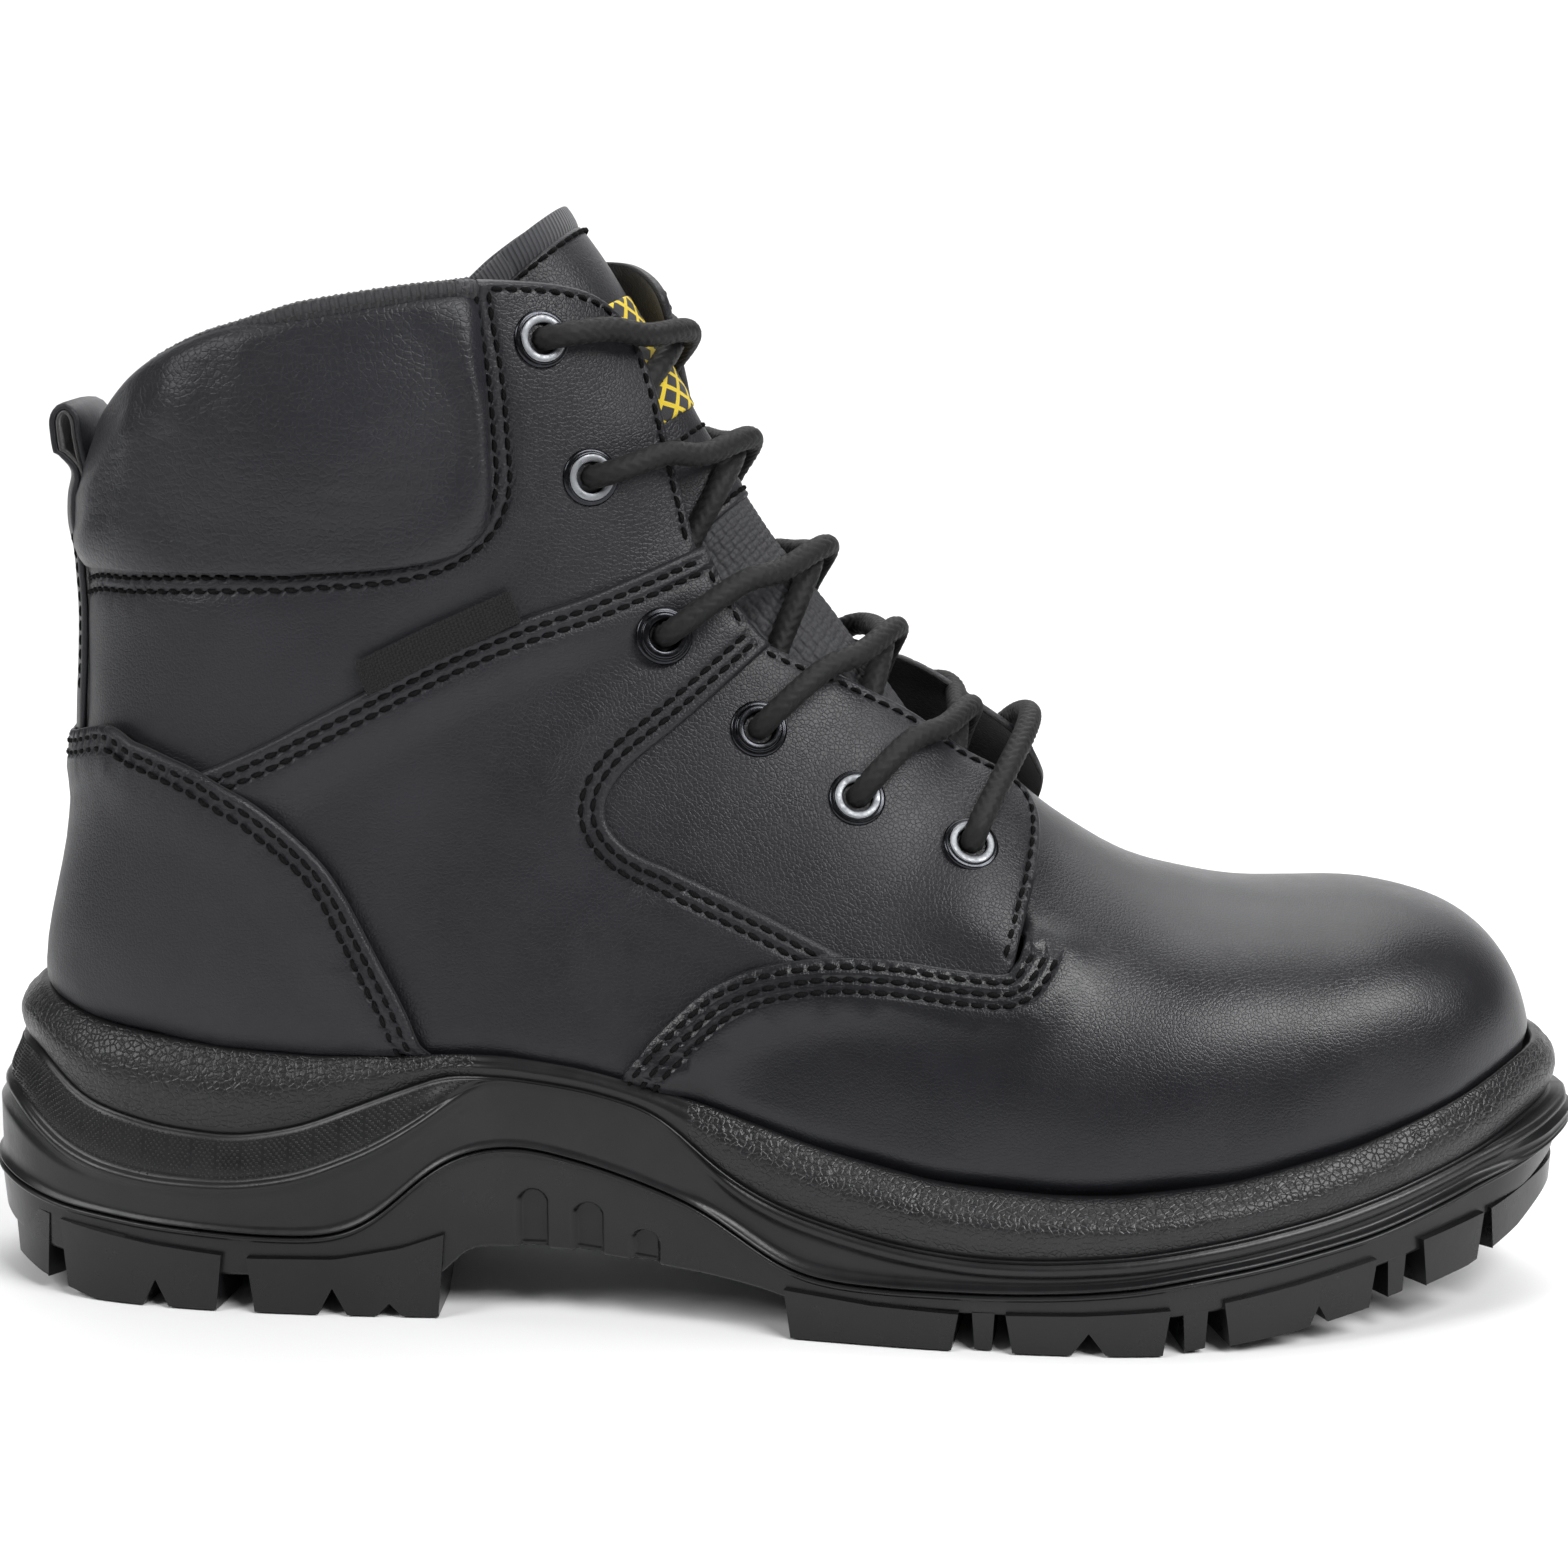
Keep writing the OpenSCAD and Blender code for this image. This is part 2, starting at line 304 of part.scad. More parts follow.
// padded collar, from the front edge of one side round the back to the other
C_LOW = [side(-54.5, 155), side(-58, 150.5), side(-66.5, 147), side(-80, 146), side(-96, 145.6), side(-112, 145), side(-127, 144.2), [19.5, -1]];
C_TOP = [side(-57.5, 191.5), side(-63, 190.8), side(-71, 189.7), side(-84, 187.5), side(-97, 184), side(-109, 178), side(-121, 170.3), [20.65, -1]];
function round_back(L) = concat(L, [for (i = [len(L) - 2:-1:0]) [L[i][0], -2 - L[i][1]]]);
module collar_foam() color([0.75, 0.74, 0.6]) shell(round_back(C_LOW), round_back(C_TOP), 36, 5,
    function(s, u) collar_bulge - 0.5, flat_at(-4.3), true);
module collar_cover() color([0.14, 0.14, 0.15]) shell(round_back(C_LOW), round_back(C_TOP), 40, 6,
    function(s, u) collar_bulge + 0.8, function(s, u) collar_bulge - 0.2, true);

// ---- swept tubes ----
function turn(n, t) = unit(n - (n*t)*t);
function frames(P, i = 0, n = undef, out = []) = i == len(P) ? out : let(
    t = unit(i == 0 ? P[1] - P[0] : i == len(P) - 1 ? P[i] - P[i - 1] : unit(P[i + 1] - P[i]) + unit(P[i] - P[i - 1])),
    m = turn(n == undef ? (abs(t[2]) < 0.9 ? [0, 0, 1] : [1, 0, 0]) : n, t))
    frames(P, i + 1, m, concat(out, [[m, cross(t, m)]]));
module tube(P, r, k = 8) {
    F = frames(P); n = len(P);
    polyhedron(points = [for (i = [0:n - 1], j = [0:k - 1]) P[i] + r*(cos(360*j/k)*F[i][0] + sin(360*j/k)*F[i][1])],
        faces = concat([for (i = [0:n - 2], j = [0:k - 1]) let(a = i*k + j, b = i*k + (j + 1)%k, c = b + k, d = a + k) each [[a, c, b], [a, d, c]]],
            [for (j = [1:k - 2]) [0, j, j + 1]], [for (j = [1:k - 2]) [(n - 1)*k, (n - 1)*k + j + 1, (n - 1)*k + j]]), convexity = 10);
}
module collar_binding() color([0.15, 0.15, 0.17]) tube([for (i = [0:40]) let(p = along(round_back(C_TOP), i/40*14)) at(p[0], p[1], -1.4) + [0, 0, 2.3]], 1.8, 8);

// pull loop: a strip sewn down the heel seam that stands off the collar and turns over into the shaft
TAB = [[-138.6, 113.5], [-137.9, 122], [-137.4, 131], [-137.6, 139], [-139.6, 146], [-142.2, 152], [-143.4, 158], [-143.2, 164],
    [-141.6, 168.2], [-138.6, 170.6], [-135.4, 170.4], [-132.2, 168.6], [-129.6, 165.4]];
module pull_tab() color([0.16, 0.16, 0.17]) {
    w = 11.5; t = 1.4; n = len(TAB);
    N = [for (i = [0:n - 1]) let(d = TAB[min(i + 1, n - 1)] - TAB[max(i - 1, 0)]) unit([d[1], -d[0]])];
    P = [for (i = [0:n - 1]) let(a = TAB[i], b = TAB[i] + t*N[i]) each [[a[0], -w, a[1]], [a[0], w, a[1]], [b[0], w, b[1]], [b[0], -w, b[1]]]];
    polyhedron(points = P, faces = concat(
        [for (i = [0:n - 2], j = [0:3]) let(a = 4*i + j, b = 4*i + (j + 1)%4, c = b + 4, d = a + 4) each [[a, b, c], [a, c, d]]],
        [[0, 2, 1], [0, 3, 2], [4*n - 4, 4*n - 3, 4*n - 2], [4*n - 4, 4*n - 2, 4*n - 1]]), convexity = 4);
}
module side_tag() color([0.06, 0.06, 0.06]) shell([side(-73, 121), side(-60, 127.5), side(-46, 134)], [side(-74.5, 126), side(-62, 132), side(-48, 138.5)],
    8, 1, flat_at(1.1), flat_at(0.3), true);

// ---- tongue: under the front edges, tilting about the throat ----
T_LOW = [[9.35, -.16], [10.2, -.22], [11.5, -.25], [13, -.27], [15, -.29], [17, -.30], [19, -.31], [20.75, -.31]];
module on_tongue(s0, s1, w, o, t, n = 8, m = 6) shell([for (i = [0:4]) [mix(s0, s1, i/4), -w]], [for (i = [0:4]) [mix(s0, s1, i/4), w]], n, m,
    function(s, u) tongue_face(s, u) + o + t, function(s, u) tongue_face(s, u) + o, true);
function tongue_face(s, u) = -8.6 + 0.8*max(0, 1 - pow(u/0.14, 2));
module tongue() color([0.13, 0.13, 0.15]) shell(T_LOW, other(T_LOW), 20, 12,
    function(s, u) tongue_face(s, u), function(s, u) tongue_face(s, u) - 5.6, true);
module tongue_patch() color([0.12, 0.12, 0.13]) on_tongue(14.3, 20.4, 0.12, 0.12, 0.7);
module tongue_label() color([0.75, 0.62, 0.1]) on_tongue(16.7, 18.5, 0.064, 0.9, 0.3, 5, 5);
module tongue_binding() color([0.12, 0.12, 0.13]) tube([for (i = [0:14]) let(u = -0.305 + 0.61*i/14) at(20.78, u, tongue_face(20, u) - 2.6) + [-0.9, 0, 2.6]], 2.2, 8);
module tongue_lace_keeper() color([0.12, 0.12, 0.14]) {
    on_tongue(12.55, 12.8, 0.06, 0.75, 0.6, 2, 6);
    for (e = [-1, 1]) shell([[12.55, e*.052], [12.8, e*.052]], [[12.55, e*.068], [12.8, e*.068]], 2, 1,
        function(s, u) tongue_face(s, u) + 0.76, function(s, u) tongue_face(s, u) + 0.1, e > 0);
}

// ---- eyelets: side-view places, top pair first ----
EYES = [[-41, 184], [-32.5, 158.5], [-19.5, 128.5], [-1.5, 111], [17, 98], [38, 88.5]];
EYE_SU = [for (e = EYES) side(e[0], e[1])];
function eye_top(k) = 0;
module eye_place(k, sign) {
    p = EYE_SU[k]; c = at(p[0], sign*abs(p[1]), 0); n = normal(p[0], sign*abs(p[1]));
    translate(c) rotate([0, acos(n[2]), atan2(n[1], n[0])]) children();
}
module eyelet(top) rotate_extrude($fn = 48) polygon([[eye_id/2, -3.2], [eye_od/2, -3.2], [eye_od/2, top + 0.35], [eye_flange/2, top + 0.35],
    [eye_flange/2, top + 0.7], [eye_flange/2 - 0.7, top + 1.2], [eye_id/2 + 0.7, top + 1.2], [eye_id/2, top + 0.6]]);
module washer() rotate_extrude($fn = 48) polygon([[eye_od/2 + 0.05, -2.9], [4.6, -2.9], [4.6, -2.25], [eye_od/2 + 0.05, -2.25]]);
module eyelets_lateral() color([0.35, 0.35, 0.37]) for (k = [0:5]) eye_place(k, -1) eyelet(eye_top(k));
module eyelets_medial() color([0.35, 0.35, 0.37]) for (k = [0:5]) eye_place(k, 1) eyelet(eye_top(k));
module eyelet_washers_lateral() color([0.6, 0.6, 0.6]) for (k = [0:5]) eye_place(k, -1) washer();
module eyelet_washers_medial() color([0.6, 0.6, 0.6]) for (k = [0:5]) eye_place(k, 1) washer();

// ---- lace: one cord. Each strand leaves an eyelet on the outside, crosses the tongue and comes up from under the next lower eyelet across it ----
IN = -4.8;
function eye_pt(k, g, t) = at(EYE_SU[k][0], g*abs(EYE_SU[k][1]), t);
function strand(k, g) = let(a = EYE_SU[k], b = EYE_SU[k + 1], c = eye_top(k), d = abs(a[1]) - 0.035, mid = (a[0] + b[0])/2) [
    eye_pt(k, g, IN), eye_pt(k, g, c + 1.3), at(mix(a[0], b[0], 0.08), g*d, c + 4.0), at(mix(a[0], b[0], 0.30), g*0.135, c + 3.1),
    at(mid, g*0.012, g < 0 ? 1.9 : -3.0), at(mix(a[0], b[0], 0.66), -g*0.09, g < 0 ? -3.4 : -4.15), at(mix(a[0], b[0], 0.84), -g*0.165, IN)];
function tail(g) = [for (p = [[17.35, .285], [17.9, .29], [18.5, .275]]) at(p[0], g*p[1], IN + 0.05)];
LACE = concat(tail(-1), strand(0, -1), strand(1, 1), strand(2, -1), strand(3, 1), strand(4, -1),
    [eye_pt(5, 1, IN), eye_pt(5, 1, 3.0), at(9.5, 0.16, 5.6), at(9.45, 0.07, 4.9), at(9.45, 0, 4.0), at(9.45, -0.07, 4.9), at(9.5, -0.16, 5.6), eye_pt(5, -1, 3.0), eye_pt(5, -1, IN)],
    flip_list(strand(4, 1)), flip_list(strand(3, -1)), flip_list(strand(2, 1)), flip_list(strand(1, -1)), flip_list(strand(0, 1)), flip_list(tail(1)));
function flip_list(L) = [for (i = [len(L) - 1:-1:0]) L[i]];
module lace() color([0.08, 0.08, 0.08]) tube(LACE, lace_d/2, 8);
module aglets() color([0.05, 0.05, 0.05]) for (g = [-1, 1]) {
    a = at(17.35, g*.285, IN + 0.05); b = at(17.9, g*.29, IN + 0.05); d = unit(a - b);
    translate(a + 0.05*d) rotate([0, acos(d[2]), atan2(d[1], d[0])]) cylinder(d = 3.6, h = aglet_l, $fn = 32);
}

outsole();
midsole();
puncture_plate();
insole_board();
footbed();
steel_toecap();
toecap_edge_strip();
vamp();
vamp_lining();
quarter_lateral();
quarter_medial();
upper_quarter_lateral();
upper_quarter_medial();
facing_lateral();
facing_medial();
heel_counter();
heel_stiffener();
quarter_lining_lateral();
quarter_lining_medial();
quarter_foam_lateral();
quarter_foam_medial();
collar_foam();
collar_cover();
collar_binding();
pull_tab();
side_tag();
tongue();
tongue_patch();
tongue_label();
tongue_binding();
tongue_lace_keeper();
eyelets_lateral();
eyelets_medial();
eyelet_washers_lateral();
eyelet_washers_medial();
lace();
aglets();
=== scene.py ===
import bpy, math
import numpy as np
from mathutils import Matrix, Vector, noise
from mathutils.geometry import delaunay_2d_cdt


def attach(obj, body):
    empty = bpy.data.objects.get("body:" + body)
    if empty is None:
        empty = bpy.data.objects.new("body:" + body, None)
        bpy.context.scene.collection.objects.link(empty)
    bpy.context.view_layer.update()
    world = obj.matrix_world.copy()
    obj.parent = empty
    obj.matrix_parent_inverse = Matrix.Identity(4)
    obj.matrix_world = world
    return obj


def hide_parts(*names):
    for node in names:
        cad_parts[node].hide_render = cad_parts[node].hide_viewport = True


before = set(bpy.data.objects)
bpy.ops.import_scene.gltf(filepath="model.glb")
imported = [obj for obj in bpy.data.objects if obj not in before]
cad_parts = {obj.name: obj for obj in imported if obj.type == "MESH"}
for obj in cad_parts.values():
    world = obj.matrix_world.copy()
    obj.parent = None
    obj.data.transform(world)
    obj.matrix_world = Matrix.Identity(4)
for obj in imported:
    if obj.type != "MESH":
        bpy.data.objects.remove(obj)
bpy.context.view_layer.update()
RNG = np.random.default_rng(7)

# ------------------------------------------------------------------ the boot's outer surface, as in part.scad (mm)
ST = np.array([
 [148.6,47.5,147.5,40,6,5,5,.35,2.3,2.6],[147.6,54,144.5,36,14.5,5,5,.35,2.3,2.6],[144.6,61.5,140,34,21,5,5,.33,2.3,2.8],
 [138.8,68.5,134,31.5,27.5,5,5,.32,2.35,3],[130,73.8,126,29.5,34,5,4.5,.30,2.4,3.2],[118,76.6,115,26,39.5,4.5,4,.30,2.4,3.6],
 [102,77.3,100,22.5,44,4,3,.30,2.35,4],[84,78.8,79,20,47.5,4,2,.29,2.2,4],[65,85,54,19,47.5,4,.5,.28,2.05,4],
 [50,95.5,28,20.5,45,3.5,-1,.27,1.9,3.8],[38,107.5,0,23.5,41.5,3,-2,.26,1.8,3.5],[26,120,-30,27,38.5,2.5,-2,.27,1.75,3.2],
 [15,132,-62,29,36,2,-1.5,.30,1.75,3],[6,143.5,-94,31,34.8,1.5,-.5,.34,1.8,2.8],[-1.5,154,-121,35,34.6,1,0,.38,1.85,2.6],
 [-7,162,-138,45,35,.5,0,.41,1.9,2.4],[-11.5,169,-143,63,35.6,0,0,.43,1.95,2.3],[-16,176.5,-139.5,88,36.5,0,0,.45,2,2.2],
 [-20.5,184,-136.5,112,37.3,0,0,.46,2,2.2],[-25,191.5,-135.5,134,38,0,0,.47,2.05,2.2],[-30,199.5,-134,152,38.5,0,0,.48,2.1,2.2],
 [-35,207,-132,168,39,0,0,.48,2.1,2.2],[-40,214.5,-129.5,184,39.5,0,0,.48,2.1,2.2]], float)

def cat(L, s):
    L = np.asarray(L, float); n = len(L); c = np.clip(np.asarray(s, float), 0, n - 1.00001)
    i = np.floor(c).astype(int); f = (c - i)[..., None]
    a, b, d, e = L[np.maximum(i - 1, 0)], L[i], L[np.minimum(i + 1, n - 1)], L[np.minimum(i + 2, n - 1)]
    return .5*(2*b + (d - a)*f + (2*a - 5*b + 4*d - e)*f*f + (3*b - a - 3*d + e)*f*f*f)

def surf(s, u):
    s, u = np.broadcast_arrays(np.asarray(s, float), np.asarray(u, float))
    q = cat(ST, s); u = (u + 1) % 2 - 1
    t = np.abs(u); c = np.abs(np.cos(np.pi*t)); top = t <= .5; m = q[..., 7]
    a = np.where(top, m + (1 - m)*c**(2/q[..., 8]), m - m*c**(2/q[..., 9]))
    y = np.maximum(np.sin(np.pi*t), 0)**(2/np.where(top, q[..., 8], q[..., 9]))
    return np.stack([q[..., 2] + (q[..., 0] - q[..., 2])*a,
                     q[..., 6] + (q[..., 5] - q[..., 6])*a + np.sign(u + 1e-12)*q[..., 4]*y,
                     q[..., 3] + (q[..., 1] - q[..., 3])*a], -1)

def unit(v): return v/np.maximum(np.linalg.norm(v, axis=-1, keepdims=True), 1e-9)

def normal(s, u):
    s = np.asarray(s, float); u = np.asarray(u, float); e = .03
    w = (u + 1) % 2 - 1; v = np.where(np.abs(np.abs(w) - 1) < .012, .012, .006)
    return unit(np.cross(surf(s, u + v) - surf(s, u - v), surf(np.minimum(s + e, 21.99), u) - surf(np.maximum(s - e, 0), u)))

def wob(P):
    """slow unevenness of real leather, the same for every layer"""
    x, y, z = P[..., 0], P[..., 1], P[..., 2]
    return (.28*np.sin(x*.085 + z*.05 + 1)*np.sin(z*.11 - y*.05 + .6) + .16*np.sin(x*.21 - z*.16 + 2.1 + y*.06))

def at(s, u, o):
    P = surf(s, u); x, z = P[..., 0], P[..., 2]
    full = .5*smooth((x - 92)/34)*smooth((z - 46)/18)      # the cap fills the toe out
    P = P + (np.asarray(o, float) + wob(P) + full)[..., None]*normal(s, u)
    back = 2.7*smooth((-98 - x)/34)*smooth((z - 52)/36)     # the heel leans in above the sole
    return P + back[..., None]*np.array([1.0, 0, 0])

def side(x, z, sign=-1):
    k = np.arange(0, 22.0, .2)
    def be(s):
        q = cat(ST, s); return (q[..., 0] - q[..., 2])*(z - q[..., 3]) - (q[..., 1] - q[..., 3])*(x - q[..., 2])
    def he(s):
        q = cat(ST, s); v0, v1 = q[..., 0] - q[..., 2], q[..., 1] - q[..., 3]
        return (v0*(x - q[..., 2]) + v1*(z - q[..., 3]))/(v0*v0 + v1*v1)
    a, b, h = be(k), be(k + .2), he(k)
    hit = k[(a*b <= 0) & (h > -.08) & (h < 1.08)]
    lo = hit[0]; hi = min(lo + .2, 21.99)
    for _ in range(12):
        m = (lo + hi)/2
        if be(lo)*be(m) <= 0: hi = m
        else: lo = m
    s = (lo + hi)/2; q = cat(ST, s); a = float(np.clip(he(s), 0, 1)); m = q[7]
    t = math.acos(min(1, ((a - m)/(1 - m))**(q[8]/2)))/math.pi if a > m else 1 - math.acos(min(1, ((m - a)/m)**(q[9]/2)))/math.pi
    return [float(s), sign*t]

def smooth(x): x = np.clip(x, 0, 1); return x*x*(3 - 2*x)
def lerp(a, b, f): return a + (b - a)*f
def table(T): 
    T = np.array(T, float); return lambda x: np.interp(x, T[:, 0], T[:, 1])

# where the sole's upper edge meets the leather
Z_TOP = table([[-156, 59.5], [-146, 57.5], [-130, 53.5], [-102, 50], [-85, 49], [-65, 50], [-50, 50.5], [-34, 48.5], [-11, 43], [11, 35.5],
    [33, 30], [55, 28], [66, 28], [88, 30.3], [111, 35.5], [133, 42.5], [149, 49]])

# ------------------------------------------------------------------ node materials
def nodes_of(name):
    m = bpy.data.materials.new(name); m.use_nodes = True
    nt = m.node_tree; b = nt.nodes["Principled BSDF"]
    return m, nt, b
def nd(nt, kind, **kw):
    n = nt.nodes.new(kind)
    for k, v in kw.items():
        if k.startswith("i_"):
            n.inputs[k[2:].replace("_", " ")].default_value = v
        else:
            setattr(n, k, v)
    return n
def ramp(nt, src, stops):
    r = nt.nodes.new("ShaderNodeValToRGB"); cr = r.color_ramp
    while len(cr.elements) < len(stops): cr.elements.new(.5)
    for e, (p, c) in zip(cr.elements, stops):
        e.position = p; e.color = (c[0], c[1], c[2], 1) if not isinstance(c, (int, float)) else (c, c, c, 1)
    nt.links.new(src, r.inputs["Fac"]); return r.outputs["Color"]
def coords(nt, scale=(1, 1, 1), uv=False):
    tc = nt.nodes.new("ShaderNodeTexCoord"); mp = nt.nodes.new("ShaderNodeMapping"); mp.inputs["Scale"].default_value = scale
    nt.links.new(tc.outputs["UV" if uv else "Object"], mp.inputs["Vector"]); return mp.outputs["Vector"]
def math_node(nt, op, a, b=None, c=None):
    n = nt.nodes.new("ShaderNodeMath"); n.operation = op
    for i, v in enumerate((a, b, c)):
        if v is None: continue
        if isinstance(v, (int, float)): n.inputs[i].default_value = v
        else: nt.links.new(v, n.inputs[i])
    return n.outputs[0]
def bump(nt, height, strength, dist, prev=None):
    b = nd(nt, "ShaderNodeBump"); b.inputs["Strength"].default_value = strength; b.inputs["Distance"].default_value = dist
    nt.links.new(height, b.inputs["Height"])
    if prev is not None: nt.links.new(prev, b.inputs["Normal"])
    return b.outputs["Normal"]
def tex_noise(nt, vec, scale, detail=3, rough=.5):
    n = nd(nt, "ShaderNodeTexNoise"); n.inputs["Scale"].default_value = scale; n.inputs["Detail"].default_value = detail
    n.inputs["Roughness"].default_value = rough; nt.links.new(vec, n.inputs["Vector"]); return n.outputs["Fac"]
def tex_cell(nt, vec, scale, feature="F1", smoothness=None):
    n = nd(nt, "ShaderNodeTexVoronoi", feature=feature); n.inputs["Scale"].default_value = scale
    nt.links.new(vec, n.inputs["Vector"]); return n.outputs["Distance"]

def leather(name, base=(.0066, .0066, .0086), worn=(.013, .013, .0168), grain=1250, bumpy=.32, rough=(.36, .5), wrinkle=0.0, spec=.36):
    """black full-grain leather: pebbled cells, fine pores, faint creases, soft uneven gloss"""
    m, nt, b = nodes_of(name); v = coords(nt)
    big = tex_noise(nt, v, 22, 4, .6)
    col = ramp(nt, big, [(.3, base), (.75, worn)])
    nt.links.new(col, b.inputs["Base Color"])
    cells = tex_cell(nt, v, grain, "DISTANCE_TO_EDGE")
    cells = ramp(nt, cells, [(0.0, 0.0), (.14, .7), (.5, 1.0)])
    fine = tex_noise(nt, v, grain*2.6, 2, .6)
    h = math_node(nt, "ADD", cells, math_node(nt, "MULTIPLY", fine, .55))
    n1 = bump(nt, h, bumpy, .00016)
    if wrinkle:
        vs = coords(nt, (1, 1, 3.2))
        w = tex_noise(nt, vs, 120, 5, .62)
        w = ramp(nt, w, [(.38, .0), (.5, 1.0), (.62, .0)])
        n1 = bump(nt, w, wrinkle, .0007, n1)
    nt.links.new(n1, b.inputs["Normal"])
    ru = tex_noise(nt, v, 55, 5, .65)
    nt.links.new(ramp(nt, ru, [(.3, rough[0]), (.7, rough[1])]), b.inputs["Roughness"])
    b.inputs["Specular IOR Level"].default_value = spec
    b.inputs["Sheen Weight"].default_value = .02; b.inputs["Sheen Roughness"].default_value = .45
    return m

def rubber(name, base=(.005, .005, .0055), worn=(.010, .010, .011), rough=(.3, .44), grain=900, bumpy=.12):
    m, nt, b = nodes_of(name); v = coords(nt)
    nt.links.new(ramp(nt, tex_noise(nt, v, 30, 5, .6), [(.35, base), (.75, worn)]), b.inputs["Base Color"])
    h = tex_noise(nt, v, grain, 3, .6); h2 = tex_noise(nt, v, 70, 3, .5)
    n1 = bump(nt, h, bumpy, .0002); n1 = bump(nt, h2, .12, .0012, n1)
    nt.links.new(n1, b.inputs["Normal"])
    nt.links.new(ramp(nt, tex_noise(nt, v, 90, 4, .7), [(.3, rough[0]), (.7, rough[1])]), b.inputs["Roughness"])
    b.inputs["Specular IOR Level"].default_value = .36
    return m

def fabric(name, base=(.014, .014, .017), light=(.035, .035, .041), fibre=2600, rough=.85, sheen=.35, fuzz=.5):
    m, nt, b = nodes_of(name); v = coords(nt)
    f = tex_noise(nt, v, fibre, 3, .7); big = tex_noise(nt, v, 160, 3, .6)
    mixf = math_node(nt, "ADD", math_node(nt, "MULTIPLY", f, .65), math_node(nt, "MULTIPLY", big, .35))
    nt.links.new(ramp(nt, mixf, [(.35, base), (.7, light)]), b.inputs["Base Color"])
    nt.links.new(bump(nt, f, fuzz, .0003), b.inputs["Normal"])
    nt.links.new(ramp(nt, f, [(.3, rough - .08), (.7, min(1, rough + .08))]), b.inputs["Roughness"])
    b.inputs["Sheen Weight"].default_value = sheen; b.inputs["Sheen Roughness"].default_value = .5
    return m

def woven(name, px, py, base=(.012, .012, .014), light=(.04, .04, .046), strength=.8, diag=False, rough=.75, sheen=.3, spec=.5):
    """plain weave or twill on the piece's own flat coordinates (metres)"""
    m, nt, b = nodes_of(name); v = coords(nt, uv=True)
    sx = nt.nodes.new("ShaderNodeSeparateXYZ"); nt.links.new(v, sx.inputs[0])
    X = math_node(nt, "MULTIPLY", sx.outputs[0], 1/px); Y = math_node(nt, "MULTIPLY", sx.outputs[1], 1/py)
    if diag:
        t = math_node(nt, "FRACT", math_node(nt, "ADD", X, Y))
        h = math_node(nt, "SINE", math_node(nt, "MULTIPLY", t, math.pi))
    else:
        sxx = math_node(nt, "ABSOLUTE", math_node(nt, "SINE", math_node(nt, "MULTIPLY", X, math.pi)))
        syy = math_node(nt, "ABSOLUTE", math_node(nt, "SINE", math_node(nt, "MULTIPLY", Y, math.pi)))
        par = math_node(nt, "FRACT", math_node(nt, "MULTIPLY", math_node(nt, "ADD", math_node(nt, "FLOOR", X), math_node(nt, "FLOOR", Y)), .5))
        par = math_node(nt, "GREATER_THAN", par, .25)
        h = math_node(nt, "ADD", math_node(nt, "MULTIPLY", sxx, par), math_node(nt, "MULTIPLY", syy, math_node(nt, "SUBTRACT", 1.0, par)))
    vo = coords(nt); f = tex_noise(nt, vo, 3500, 2, .6)
    hh = math_node(nt, "ADD", h, math_node(nt, "MULTIPLY", f, .35))
    nt.links.new(ramp(nt, hh, [(.2, base), (1.2 if False else .95, light)]), b.inputs["Base Color"])
    nt.links.new(bump(nt, hh, strength, .0004), b.inputs["Normal"])
    nt.links.new(ramp(nt, f, [(.3, rough - .1), (.7, rough + .1)]), b.inputs["Roughness"])
    b.inputs["Sheen Weight"].default_value = sheen; b.inputs["Specular IOR Level"].default_value = spec
    return m

def metal(name, base, rough, dark=None):
    m, nt, b = nodes_of(name); v = coords(nt)
    n = tex_noise(nt, v, 300, 4, .6)
    nt.links.new(ramp(nt, n, [(.35, dark or tuple(c*.8 for c in base)), (.65, base)]), b.inputs["Base Color"])
    nt.links.new(ramp(nt, tex_noise(nt, v, 900, 3, .7), [(.3, rough*.7), (.7, rough*1.4)]), b.inputs["Roughness"])
    nt.links.new(bump(nt, n, .05, .0002), b.inputs["Normal"])
    b.inputs["Metallic"].default_value = 1.0
    return m

def gloss(name, base, rough=.25):
    m, nt, b = nodes_of(name); v = coords(nt)
    nt.links.new(ramp(nt, tex_noise(nt, v, 200, 4, .6), [(.3, tuple(c*.7 for c in base)), (.7, base)]), b.inputs["Base Color"])
    nt.links.new(ramp(nt, tex_noise(nt, v, 500, 3, .7), [(.3, rough*.8), (.7, rough*1.3)]), b.inputs["Roughness"])
    nt.links.new(bump(nt, tex_noise(nt, v, 800, 3, .6), .06, .0002), b.inputs["Normal"])
    return m

M = {}
M["leather"] = leather("leather_black")
M["vamp"] = leather("leather_vamp", grain=1350, bumpy=.2, rough=(.28, .38), base=(.0056, .0057, .0074), worn=(.011, .0112, .0142))
M["collar"] = leather("leather_collar_soft", grain=800, bumpy=.36, rough=(.38, .46), wrinkle=.12, base=(.0078, .0078, .0102), worn=(.015, .0152, .019))
M["edge"] = leather("leather_cut_edge", base=(.012, .012, .0125), worn=(.032, .031, .03), grain=1500, bumpy=.6, rough=(.7, .9))
M["thread"] = woven("sewing_thread", .00035, .0006, base=(.0012, .0012, .0014), light=(.0045, .0045, .005), strength=.5, diag=True, rough=.8, sheen=0, spec=.12)
M["suede"] = fabric("lining_suede", base=(.012, .011, .012), light=(.05, .045, .046), fibre=1800, fuzz=.9, sheen=.5)
M["mesh"] = fabric("lining_mesh", base=(.012, .012, .014), light=(.045, .045, .05), fibre=1500, fuzz=.8)
M["sole"] = rubber("sole_polyurethane", rough=(.28, .4), grain=1300, bumpy=.15, base=(.0055, .0055, .0062), worn=(.011, .011, .012))
M["out"] = rubber("outsole_rubber", rough=(.24, .36))
